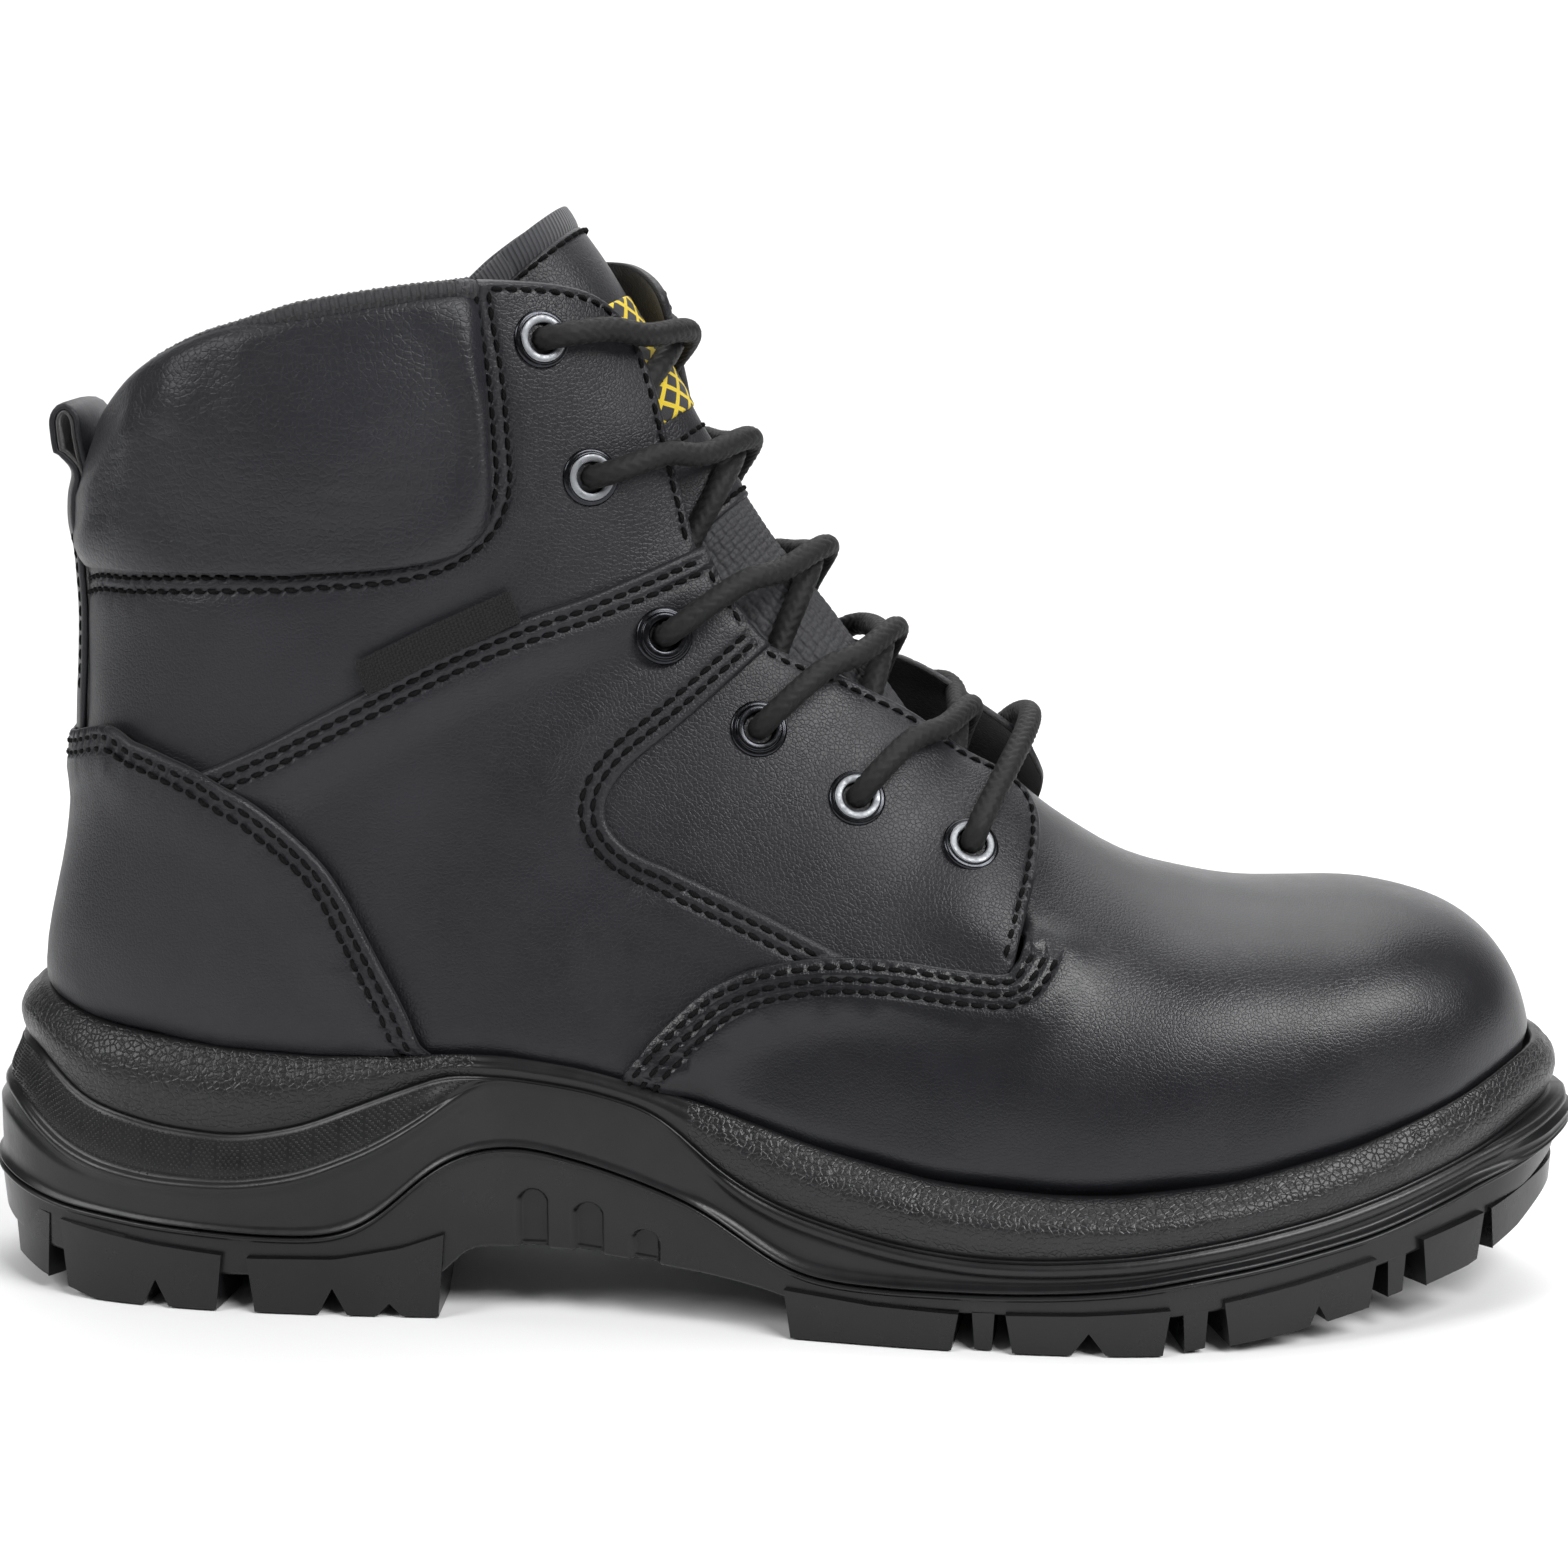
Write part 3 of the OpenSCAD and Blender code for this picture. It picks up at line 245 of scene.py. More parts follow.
M["knit"] = woven("knit_binding", .0008, .0011, base=(.004, .004, .005), light=(.016, .0162, .019), strength=.7, sheen=.15)
M["twill"] = woven("twill_nylon", .0009, .0013, base=(.008, .008, .010), light=(.026, .0265, .032), diag=True, strength=.6)
M["web"] = fabric("webbing_nylon", base=(.007, .0073, .0095), light=(.024, .025, .031), fibre=2800, rough=.6, sheen=.15, fuzz=.35)
M["lace"] = fabric("lace_braid", base=(.0014, .0014, .0016), light=(.0085, .0085, .0092), fibre=3800, rough=.62, sheen=.02, fuzz=.25)
M["lace"].node_tree.nodes["Principled BSDF"].inputs["Specular IOR Level"].default_value = .3
M["gun"] = metal("eyelet_gunmetal", (.035, .036, .04), .22)
# a brighter copy of the eyelet metal: a painted highlight for the crowns of the eyelets
M["ring"] = metal("eyelet_painted_highlight", (.27, .28, .295), .5)
M["tag"] = woven("side_tag_weave", .0006, .0006, base=(.0016, .0016, .0018), light=(.0075, .0075, .0085), strength=.7, sheen=.05, spec=.25)
M["steel"] = metal("steel_satin", (.6, .61, .63), .3)
M["rim"] = leather("sole_moulded_grain", grain=880, bumpy=.6, rough=(.3, .42), base=(.0052, .0052, .006), worn=(.0105, .0105, .0118), spec=.42)
M["board"] = fabric("fibre_board", base=(.08, .07, .055), light=(.15, .13, .10), fibre=900, rough=.9, sheen=0)
M["foam"] = fabric("foam", base=(.05, .05, .05), light=(.11, .11, .11), fibre=1200, rough=.95, sheen=.1, fuzz=1)
M["foot"] = fabric("footbed_felt", base=(.02, .02, .024), light=(.07, .07, .08), fibre=1400, rough=.92, sheen=.3, fuzz=.8)
M["plastic"] = gloss("aglet_plastic", (.02, .02, .022))
M["zinc"] = metal("washer_zinc", (.5, .5, .5), .35)

# ------------------------------------------------------------------ meshes
def mesh(name, V, F, mat, body="root", repl=(), slot=None, uv=None, fmat=None, shade=True, creases=None):
    me = bpy.data.meshes.new(name)
    V = np.asarray(V, float)*.001
    me.from_pydata(V.tolist(), [], [list(map(int, f)) for f in F])
    for mm in (mat if isinstance(mat, (list, tuple)) else [mat]): me.materials.append(mm)
    if fmat is not None: me.polygons.foreach_set("material_index", np.asarray(fmat, np.int32))
    me.polygons.foreach_set("use_smooth", np.full(len(me.polygons), bool(shade)))
    if uv is not None:
        l = me.uv_layers.new(name="UVMap"); idx = np.empty(len(me.loops), np.int32); me.loops.foreach_get("vertex_index", idx)
        l.data.foreach_set("uv", (np.asarray(uv, float)[idx]*.001).astype(np.float32).ravel())
    me.update()
    o = bpy.data.objects.new(name, me); bpy.context.scene.collection.objects.link(o)
    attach(o, body)
    if repl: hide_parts(*repl)
    return o

def grid_faces(n, m, close_i=False, close_j=False, off=0, flip=False):
    """faces of an n x m vertex grid"""
    i = np.arange(n if close_i else n - 1)[:, None]; j = np.arange(m if close_j else m - 1)[None, :]
    a = i*m + j; b = ((i + 1) % n)*m + j; c = ((i + 1) % n)*m + (j + 1) % m; d = i*m + (j + 1) % m
    F = np.stack([a, b, c, d], -1).reshape(-1, 4) + off
    return F[:, ::-1] if flip else F

def catline(P, per=16):
    P = np.asarray(P, float); t = np.linspace(0, len(P) - 1, (len(P) - 1)*per + 1); return cat(P, t)
def resample_su(C, step):
    P = surf(C[:, 0], C[:, 1]); L = np.concatenate([[0], np.cumsum(np.linalg.norm(np.diff(P, axis=0), axis=1))])
    n = max(2, int(round(L[-1]/step)) + 1); t = np.linspace(0, L[-1], n)
    return np.stack([np.interp(t, L, C[:, 0]), np.interp(t, L, C[:, 1])], -1)
def resample3(P, step):
    P = np.asarray(P, float); L = np.concatenate([[0], np.cumsum(np.linalg.norm(np.diff(P, axis=0), axis=1))])
    n = max(2, int(round(L[-1]/step)) + 1); t = np.linspace(0, L[-1], n)
    return np.stack([np.interp(t, L, P[:, k]) for k in range(3)], -1)
def seg_dist(P, Q):
    """distance from each point of P to the polyline Q"""
    A, B = Q[:-1], Q[1:]; out = np.full(len(P), 1e9)
    D = B - A; DD = (D*D).sum(1) + 1e-9
    for k in range(0, len(P), 2000):
        p = P[k:k + 2000, None, :]; t = np.clip(((p - A)*D).sum(-1)/DD, 0, 1)
        out[k:k + 2000] = np.sqrt(((p - A - t[..., None]*D)**2).sum(-1).min(1))
    return out
def inside(pts, loop):
    x, y = pts[:, 0], pts[:, 1]; c = np.zeros(len(pts), bool); n = len(loop)
    for i in range(n):
        x0, y0 = loop[i]; x1, y1 = loop[(i + 1) % n]
        if y0 == y1: continue
        m = ((y0 > y) != (y1 > y)) & (x < (x1 - x0)*(y - y0)/(y1 - y0) + x0); c ^= m
    return c
SC = np.array([12.5, 135.0])
def inset(C, d, inward):
    """points d mm inside a row of [s, u] points, along the surface"""
    C = np.array(C, float); e = 1e-3
    for _ in range(4):
        s, u = C[:, 0], C[:, 1]
        Js = (surf(s + e, u) - surf(s - e, u))/(2*e); Ju = (surf(s, u + e) - surf(s, u - e))/(2*e)
        a, b, c = (Js*Js).sum(-1), (Js*Ju).sum(-1), (Ju*Ju).sum(-1); p, q = (Js*inward).sum(-1), (Ju*inward).sum(-1)
        det = a*c - b*b + 1e-9
        C = C + d/4*np.stack([(c*p - b*q)/det, (a*q - b*p)/det], -1)
    return C

THREADS = []
def stitch_row(path, top, pitch=3.0, r=.42, tilt=.12):
    """thread humps between the needle holes of a row: path is [s, u], two samples a stitch, top(s, u) is the leather's height there"""
    n = (len(path) - 1)//2; V, F = [], []
    P = at(path[:, 0], path[:, 1], 0); N = normal(path[:, 0], path[:, 1])
    h = top
    for k in range(n):
        a, m, b = 2*k, 2*k + 1, 2*k + 2
        if np.linalg.norm(P[a] - P[b]) > pitch*1.8: continue
        T = unit(P[b] - P[a]); nn = unit(N[m] - (N[m]@T)*T); B = np.cross(T, nn); sl = tilt*(1 if k % 2 else .8)
        base = len(V)*1
        for w, rr, z in ((.03, .55, -.75), (.16, .95, -.12), (.34, 1.08, .26), (.5, 1.12, .34), (.66, 1.08, .26), (.84, .95, -.12), (.97, .55, -.75)):
            c = P[a]*(1 - w) + P[b]*w; c = c + (P[m] - (P[a] + P[b])/2)*4*w*(1 - w)
            hh = lerp(h[a], h[b], w)*0 + h[m]
            c = c + nn*(hh + z) + B*sl*(w - .5)*2
            for q in range(6):
                g = math.tau*q/6; V.append(c + r*rr*(B*math.cos(g) + nn*.8*math.sin(g)))
        for i in range(6):
            for q in range(6):
                a0 = base + i*6 + q; b0 = base + i*6 + (q + 1) % 6; F.append((a0, b0, b0 + 6, a0 + 6))
    if V: THREADS.append((np.array(V), F))

def panel(name, edges, thick, mat, under=0.0, lifts=(), h=1.9, body="root", repl=(), slot="leather_smooth", r=1.1, extra=None, back=None, edge_mat=None, pads=(), rim=None, liftmul=None, tuck=True):
    """one cut piece of leather on the boot's surface. edges run round it: dict(c=[[s, u]...], free=bool, rows=[insets], skip=(start, end)).
    under is the height of its underside; lifts are (edge numbers, amount, full until, none from)."""
    loops, spans = [], []
    for e in edges:
        C = catline(e["c"]) if not e.get("straight") else np.asarray(e["c"], float)
        C = resample_su(C, 1.0 if e.get("free") else 2.2)
        spans.append((sum(len(l) for l in loops), len(C) - 1, C)); loops.append(C[:-1])
    loop = np.concatenate(loops); X = loop*SC
    area = .5*np.sum(X[:, 0]*np.roll(X[:, 1], -1) - np.roll(X[:, 0], -1)*X[:, 1])
    pts, kind, fixed = [loop], [np.zeros(len(loop), int)], []
    rows = []                                   # stitch rows
    free3 = [surf(C[:, 0], C[:, 1]) for (i0, n, C), e in zip(spans, edges) if e.get("free")]
    allfree = lambda P: np.minimum.reduce([seg_dist(P, f) for f in free3]) if free3 else np.full(len(P), 99.0)
    for (i0, n, C), e in zip(spans, edges):
        if not e.get("free"): continue
        P = surf(C[:, 0], C[:, 1]); T = unit(np.gradient(P, axis=0)); N = normal(C[:, 0], C[:, 1])
        I = unit(np.cross(N, T))*np.sign(area)*(-1 if False else 1)
        if inside(inset(C, .8, I)*SC, X).sum() < inside(inset(C, .8, -I)*SC, X).sum(): I = -I
        for d in (.3, .75, 1.5):
            pts.append(inset(C, d, I)); kind.append(np.full(len(C), 1))
        for d in e.get("rows", ()):
            R = inset(C, d, I); PR = surf(R[:, 0], R[:, 1]); ok = (seg_dist(PR, P) > d*.86) & inside(R*SC, X)
            R = R[ok]
            if len(R) < 6: continue
            a, b = e.get("skip", (1.5, 1.5)); R = resample_su(R, .75)
            na, nb = int(a/.75), int(b/.75); R = R[na:len(R) - nb] if nb else R[na:]
            R = resample_su(R, 1.5); R = R[:len(R) - (len(R) + 1) % 2]
            rows.append(R)
            pts.append(R); kind.append(np.where(np.arange(len(R)) % 2 == 0, 3, 2))
            for dd in (-.62, .62, -1.25, 1.25):
                PR = surf(R[:, 0], R[:, 1]); TR = unit(np.gradient(PR, axis=0)); NR = normal(R[:, 0], R[:, 1])
                R2 = inset(resample_su(R, 1.0) if False else R, dd, unit(np.cross(NR, TR))); pts.append(R2); kind.append(np.full(len(R2), 1))
    lo, hi = X.min(0), X.max(0)
    gx = np.arange(lo[0] + h/2, hi[0], h); gy = np.arange(lo[1] + h/2, hi[1], h*.87)
    G = np.array([(x + (h/2 if j % 2 else 0), y) for j, y in enumerate(gy) for x in gx])
    G = G[inside(G, X)]
    core = np.concatenate(pts)*SC
    keep = np.ones(len(G), bool)
    for k in range(0, len(G), 1500):
        keep[k:k + 1500] = (((G[k:k + 1500, None, :] - core[None])**2).sum(-1).min(1)) > (h*.45)**2
    G = G[keep]
    nb = len(loop)
    rest = np.concatenate(pts[1:]) if len(pts) > 1 else np.zeros((0, 2)); rk = np.concatenate(kind[1:]) if len(kind) > 1 else np.zeros(0, int)
    ok = inside(rest*SC, X) if len(rest) else np.zeros(0, bool)
    if len(rest):
        d0 = np.full(len(rest), 9.0)
        for k in range(0, len(rest), 1500):
            d0[k:k + 1500] = np.sqrt(((rest[k:k + 1500, None, :]*SC - X[None])**2).sum(-1).min(1))
        ok &= d0 > .16
    rest, rk = rest[ok], rk[ok]
    order = np.argsort(-rk, kind="stable"); rest, rk = rest[order], rk[order]; far = np.ones(len(rest), bool); RS = rest*SC
    for k in range(0, len(rest), 1200):
        dd_ = ((RS[k:k + 1200, None, :] - RS[None])**2).sum(-1) < .33**2
        dd_ &= np.arange(len(rest))[None] < np.arange(k, min(k + 1200, len(rest)))[:, None]
        far[k:k + 1200] = ~(dd_.any(1) & (rk[k:k + 1200] == 1))
    rest, rk = rest[far], rk[far]
    pts2 = np.concatenate([X, rest*SC, G]); kinds = np.concatenate([np.zeros(nb, int), rk, np.full(len(G), 4)])
    ov, oe, of_, orig, _, _ = delaunay_2d_cdt([Vector(p) for p in pts2], [(i, (i + 1) % nb) for i in range(nb)], [], 1, 1e-4)
    Q = np.array([(v[0], v[1]) for v in ov]); kd = np.array([kinds[o[0]] if len(o) else 4 for o in orig])
    hole = np.array([any(kinds[i] == 3 for i in o) for o in orig]); thr = np.array([any(kinds[i] in (2, 3) for i in o) for o in orig])
    F = np.array([f for f in of_ if len(f) == 3])
    cen = Q[F].mean(1); F = F[inside(cen, X)]
    su = Q/SC; s, u = su[:, 0], su[:, 1]; P0 = surf(s, u)
    dfree = allfree(P0)
    prof = np.sqrt(1 - (1 - np.minimum(dfree/r, 1))**2)*.62 + .38
    U = np.full(len(Q), float(under))
    def lifted(P, s, u):
        o = np.full(len(P), float(under))
        for es, amt, d1, d2 in lifts:
            d = np.minimum.reduce([seg_dist(P, surf(spans[k][2][:, 0], spans[k][2][:, 1])) for k in es])
            g = amt*(1 - smooth((d - d1)/(d2 - d1)))
            if liftmul is not None: g = g*liftmul(s, u)
            o = np.maximum(o, under + g)
        for f in pads: o = o + f(s, u, P)
        if tuck: w_ = smooth((Z_TOP(P[:, 0]) + 3.4 - P[:, 2])/4.6); o = o*(1 - w_) + w_*(-thick - 1.15 + .35*(o + 1.65))
        return o
    U = lifted(P0, s, u)
    top = U + thick*prof
    if rim: # a rolled edge: (height, centre inset, width)
        top = top + rim[0]*np.exp(-((dfree - rim[1])/rim[2])**2)
    if rows:
        ds = np.minimum.reduce([seg_dist(P0, surf(R[:, 0], R[:, 1])) for R in rows])
        top = top - .42*np.exp(-(ds/.75)**2) - np.where(hole & (ds < .4), .5, 0)
    # sides
    A = at(s, u, top); B = at(s, u, U)
    # boundary of the kept faces
    E = {}
    for f in F:
        for a, b in ((f[0], f[1]), (f[1], f[2]), (f[2], f[0])): E[(a, b)] = 1
    rimE = [(a, b) for (a, b) in E if (b, a) not in E]
    n = len(Q); V = np.concatenate([A, B])
    # orientation: outward normal of the first big face
    f0 = F[len(F)//2]; fn = np.cross(A[f0[1]] - A[f0[0]], A[f0[2]] - A[f0[0]])
    if fn @ normal(s[f0[0]], u[f0[0]]) < 0:
        F = F[:, ::-1]; rimE = [(b, a) for a, b in rimE]
    faces = [tuple(f) for f in F] + [tuple(f + n) for f in F[:, ::-1]] + [(b, a, a + n, b + n) for a, b in rimE]
    mats = [mat, back or mat, edge_mat or mat]
    fm = [0]*len(F) + [1]*len(F) + [2]*len(rimE)
    o = mesh(name, V, faces, mats, body, repl, slot, uv=np.concatenate([Q, Q]), fmat=fm)
    for R in rows:
        PR = surf(R[:, 0], R[:, 1]); hh = lifted(PR, R[:, 0], R[:, 1]) + thick - .42
        if rim: hh = hh + rim[0]*np.exp(-((allfree(PR) - rim[1])/rim[2])**2)
        stitch_row(R, hh)
    if extra: extra(spans)
    return o

def mir(L): return [[p[0], -p[1]] for p in L]
def S2(*pts): return [side(x, z) for x, z in pts]
# ------------------------------------------------------------------ camera first
cam = bpy.data.cameras.new("camera"); cam.lens = 73.79; cam.sensor_width = 36; cam.clip_end = 20; cam.clip_start = .01
co = bpy.data.objects.new("camera", cam); bpy.context.scene.collection.objects.link(co)
co.location = (.03465, -.61915, .205); co.rotation_euler = (math.radians(90 - 9.9), 0, math.radians(3.0))
bpy.context.scene.camera = co

# ------------------------------------------------------------------ heights of the layers
def flare(s, u):
    """the inner side's flap, which stands up and curls away from the tongue"""
    g = smooth((.385 - u)/.11)*(u > 0)
    return g*(8.6*np.exp(-((s - 10.4)/1.8)**2) + 2.6*np.exp(-((s - 15.0)/3.0)**2) + 4.4*np.exp(-((s - 19.6)/1.8)**2))
def near_flap(s, u):
    """the outer side's flap lifts a little off the tongue"""
    g = smooth((.36 + u)/.1)*(u < 0)
    return g*(1.2*np.exp(-((s - 10.0)/1.6)**2))
def flap(s, u, P=None): return flare(s, u) + near_flap(s, u)
def over_vamp(s, u, P=None):
    """the flap's lower corner lies on the vamp"""
    return 1.75*smooth((10.1 - s)/.8)*smooth((.335 - np.abs(u))/.045)

# ------------------------------------------------------------------ upper: leather pieces
FRONT_U = [(-13.5, 145.5), (-15, 152), (-17, 159), (-20, 170), (-24, 182), (-27.5, 188), (-32, 192), (-38, 194.2), (-47, 195), (-56.5, 195)]
FRONT_UM = [(-13.5, 145.5), (-14.5, 152), (-15.8, 159), (-18, 170), (-21.5, 182), (-24.5, 189.5), (-30, 194.5), (-37.5, 196.3), (-47, 196), (-56.5, 195)]
COLLAR_E = [(-56.5, 195), (-55.5, 187), (-54, 177), (-53.3, 166), (-53, 158), (-55, 152.5), (-60, 148.8), (-66.5, 147), (-75, 146), (-85, 145.3), (-96, 145), (-108, 144.6), (-120, 144), (-130, 143.3)]
SEAM = [(-133.5, 98), (-122, 100), (-110, 102.4), (-104, 104.6), (-88, 112), (-71, 121), (-58, 127.6), (-45, 132.8), (-34, 136.3), (-24, 140.2), (-18.5, 142.5), (-12, 145)]
WINDOW = [(.2, 126.1), (-6.9, 120), (-14.3, 113.7), (-20, 109.2), (-24.4, 105.7), (-28, 101.6), (-29.6, 97.8), (-29, 94), (-26, 90.4), (-21.5, 87.8), (-17.3, 86.1), (-4, 79.9), (8, 74.2), (18, 69.5)]
FLAP_LOW = [(-1.2, 127.4), (3, 125), (8, 122.6), (13.5, 120.3), (19, 117.2), (28, 111.6), (37.5, 104.5), (43, 100), (47.3, 96.2), (50.3, 92.6), (51.2, 88.8), (50.5, 83), (49.2, 78.2), (47.4, 71.6), (46.2, 66)]
VAMP_SIDE = [(-31, 40), (-27, 46), (-24.7, 49.6), (-18.8, 56.5), (-11.6, 63.2), (-6, 66.4), (-.5, 68.4), (6.6, 69.7), (14.5, 70.3), (25, 69.8), (35.2, 68.5), (44.1, 67.2), (49.5, 67.6), (53, 69.8)]
COUNTER = [(-63, 50), (-66.5, 58), (-70.5, 66), (-75, 75), (-79.5, 83.5), (-85, 90.3), (-91, 95.8), (-97, 100.2), (-104, 104), (-111, 106.8), (-118, 109), (-127, 111.3)]
B = {}
for sg, nm in ((-1, "lateral"), (1, "medial")):
    def E(pts): return [side(x, z, sg) for x, z in pts]
    sL = "leather"
    # upper quarter: collar edge, heel seam, under the quarter, front edge
    ucol = E(COLLAR_E) + [[19.35, sg*.999]]
    panel("upper_quarter_leather_" + nm, [
        dict(c=E(FRONT_U if sg < 0 else FRONT_UM), free=True, rows=[1.9], skip=(1, 5)),
        dict(c=ucol, free=True, rows=[4.2, 6.7], skip=(1.5, 9)),
        dict(c=[[19.35, sg*.999], [18.6, sg*.999], [17.4, sg*.999]]),
        dict(c=[[17.4, sg*.999]] + E([(-126, 101), (-111, 97), (-98, 97), (-86, 102.5), (-75, 109), (-64, 114), (-54, 118.5), (-46, 122), (-38, 125), (-31, 128), (-24, 130.5), (-17, 132.5), (-10, 136), (-12.5, 141), (-13.5, 145.5)])),
        ], 1.8, M["leather"], under=-1.8, edge_mat=M["edge"], back=M["suede"], repl=["upper_quarter_" + nm], pads=[flap], rim=(.55, 1.5, 1.1), h=2.3)
    # lower facing, under the quarter's window
    panel("facing_leather_" + nm, [
        dict(c=E(FLAP_LOW), free=True, rows=[1.9], skip=(2, 3)),
        dict(c=E([(46.2, 66), (44, 62), (30, 62.5), (14, 63.5), (0, 66), (-16, 76), (-33, 80.5)])),
        dict(c=E([(-33, 80.5), (-39, 88), (-40.5, 97), (-37, 104), (-29, 111), (-18, 119), (-9, 127), (-4.5, 131)])),
        dict(c=E([(-4.5, 131), (-1.2, 127.4)]), straight=True),
        ], 1.8, M["leather"], under=-1.8, edge_mat=M["edge"], back=M["suede"], repl=["facing_" + nm], pads=[flap, over_vamp], h=2.3)
    # quarter: over both
    panel("quarter_leather_" + nm, [
        dict(c=E(SEAM), free=True, rows=[2.3, 4.5], skip=(22, 2)),
        dict(c=E([(-12, 145), (-9.5, 139.5), (-6.5, 134.5), (-3, 129.8), (.2, 126.1)]), free=True, rows=[1.8], skip=(5, 5)),
        dict(c=E(WINDOW), free=True, rows=[2.4, 4.6], skip=(2, 8)),
        dict(c=E([(18, 69.5), (20, 64), (6, 62), (-5, 58), (-12, 52), (-16, 42)])),
        dict(c=E([(-16, 42), (-30, 41), (-45, 42), (-62, 42), (-90, 41), (-112, 43), (-130, 46)]) + [[16.3, sg*.995]]),
        dict(c=[[16.3, sg*.995], [17, sg*.995]] + E([(-133.5, 98)])),
        ], 1.5, M["leather"], under=-1.6, edge_mat=M["edge"], repl=["quarter_" + nm], lifts=[((0, 1, 2), 1.75, 6.5, 13)], pads=[flap], h=2.3)

# vamp: over the facing along its side edges, under it at the throat
TURN = [[8.86, .3245], [8.79, .314], [8.74, .297], [8.735, .274]]
VL, VM = S2(*VAMP_SIDE[:-3]) + [[p[0], -p[1]] for p in TURN], [side(x, z, 1) for x, z in VAMP_SIDE[:-3]] + TURN
def vamp_top(s, u, P): return 0.0
tipL, tipM = VL[-1], VM[-1]
throat = [tipL, [8.85, -.26], [8.98, -.235], [9.05, -.18], [9.1, -.1], [9.12, 0], [9.1, .1], [9.05, .18], [8.98, .235], [8.85, .26], tipM]
def vlift(s, u):
    a = np.abs(u); f = lerp(.58, 1.0, smooth((s - 9.3)/1.0)); hid = smooth((s - 8.72)/.13)*smooth((.312 - a)/.02)
    return f*(1 - hid)*np.where(s < 9.2, smooth((a - .225)/.05), 1.0)
toe_rim = [VM[0]] + [side(x, z, 1) for x, z in [(-10, 36), (11, 29), (33, 24), (55, 21.5), (66, 21.5), (88, 24), (111, 29), (128, 35), (140, 39.5)]] + [[.55, .42], [.38, .2], [.34, 0], [.38, -.2], [.55, -.42]] + \
    [side(x, z) for x, z in [(140, 39.5), (128, 35), (111, 29), (88, 24), (66, 21.5), (55, 21.5), (33, 24), (11, 29), (-10, 36)]] + [VL[0]]
panel("vamp_leather", [
    dict(c=VL, free=True, rows=[1.9, 4.2, 6.4], skip=(4, 2)),
    dict(c=throat),
    dict(c=VM[::-1], free=True, rows=[1.9, 4.2, 6.4], skip=(2, 4)),
    dict(c=toe_rim)], 1.6, M["vamp"], under=-1.7, edge_mat=M["edge"], repl=["vamp"], slot="leather_smooth",
    lifts=[((0, 2), 3.1, 7.0, 15)], h=2.5, liftmul=vlift)

# heel counter, round the back
CL = S2(*COUNTER); CM = [[p[0], -2 - p[1]] for p in CL]
panel("heel_counter_leather", [
    dict(c=CL + [[17.82, -.985], [17.86, -1.0], [17.82, -1.015]] + CM[::-1], free=True, rows=[2.2, 4.5], skip=(3, 3)),
    dict(c=[CM[0]] + [[p[0], -2 - p[1]] for p in S2((-63, 44), (-76, 42), (-97, 44), (-115, 46), (-128, 50))] + [[15.7, -1.0]] + S2((-128, 50), (-115, 46), (-97, 44), (-76, 42), (-63, 44)) + [CL[0]])],
    1.5, M["leather"], under=.35, edge_mat=M["edge"], repl=["heel_counter"], lifts=[((0,), 1.5, 6.5, 14)], h=2.4)

# ------------------------------------------------------------------ threads in one piece a body
def flush_threads(name, body="root"):
    V, F, n = [], [], 0
    for v, f in THREADS:
        V.append(v); F += [tuple(i + n for i in q) for q in f]; n += len(v)
    THREADS.clear()
    if V: mesh(name, np.concatenate(V), F, M["thread"], body, slot="leather_smooth", uv=np.concatenate(V)[:, [0, 2]])
flush_threads("upper_stitching")

def swell(o, held, pressure, shrink, frames_, cap):
    """lets a sewn cover swell over its filling: a cloth run with its seams held, at ten times the size"""
    src = o.data; n = len(src.vertices); rest = np.empty(n*3); src.vertices.foreach_get("co", rest); rest = rest.reshape(-1, 3)
    sim_me = src.copy(); K = 10.0; sim_me.vertices.foreach_set("co", (rest*K).astype(np.float32).ravel()); sim_me.update()
    so = bpy.data.objects.new("sim_" + o.name, sim_me); bpy.context.scene.collection.objects.link(so)
    so.vertex_groups.new(name="pin").add([int(i) for i in held], 1.0, "REPLACE")
    md = so.modifiers.new("cloth", "CLOTH"); st = md.settings
    st.vertex_group_mass = "pin"; st.use_pressure = True; st.uniform_pressure_force = pressure; st.shrink_min = shrink; st.shrink_max = shrink
    st.effector_weights.gravity = 0; st.quality = 5; st.tension_stiffness = 25; st.compression_stiffness = 25; st.shear_stiffness = 8; st.bending_stiffness = 2.0; st.air_damping = 4
    md.collision_settings.use_collision = False
    sc = bpy.context.scene
    for f in range(1, frames_ + 1): sc.frame_set(f)
    ev = so.evaluated_get(bpy.context.evaluated_depsgraph_get()).to_mesh(); out = np.empty(n*3); ev.vertices.foreach_get("co", out); out = out.reshape(-1, 3)/K
    sc.frame_set(1)
    mv = out - rest; L = np.linalg.norm(mv, axis=1, keepdims=True); mv = mv*np.minimum(1, cap/np.maximum(L, 1e-9))
    bpy.data.objects.remove(so)
    src.vertices.foreach_set("co", (rest + mv).astype(np.float32).ravel()); src.update()

# ------------------------------------------------------------------ padded collar
C_LOW = S2((-50.5, 155), (-56, 149.5), (-66.5, 147), (-80, 146), (-96, 145.6), (-112, 145), (-127, 144.2)) + [[19.5, -1]]
C_TOP = S2((-52, 192.2), (-61, 191.6), (-71, 190.2), (-84, 188.0), (-97, 185.6), (-109, 181.8), (-120, 176.6)) + [[20.96, -1]]
def rnd(L): return L + [[p[0], -2 - p[1]] for p in L[:-1][::-1]]
CLo, CTo = rnd(C_LOW), rnd(C_TOP)
NI, NJ = 190, 34
ii = np.linspace(0, len(CLo) - 1, NI)
lo_, to_ = cat(CLo, ii), cat(CTo, ii)
V = np.zeros((NI, NJ, 3)); jj = np.linspace(0, 1, NJ)
endf = np.minimum(1, np.minimum(np.arange(NI), np.arange(NI)[::-1])/6.0)
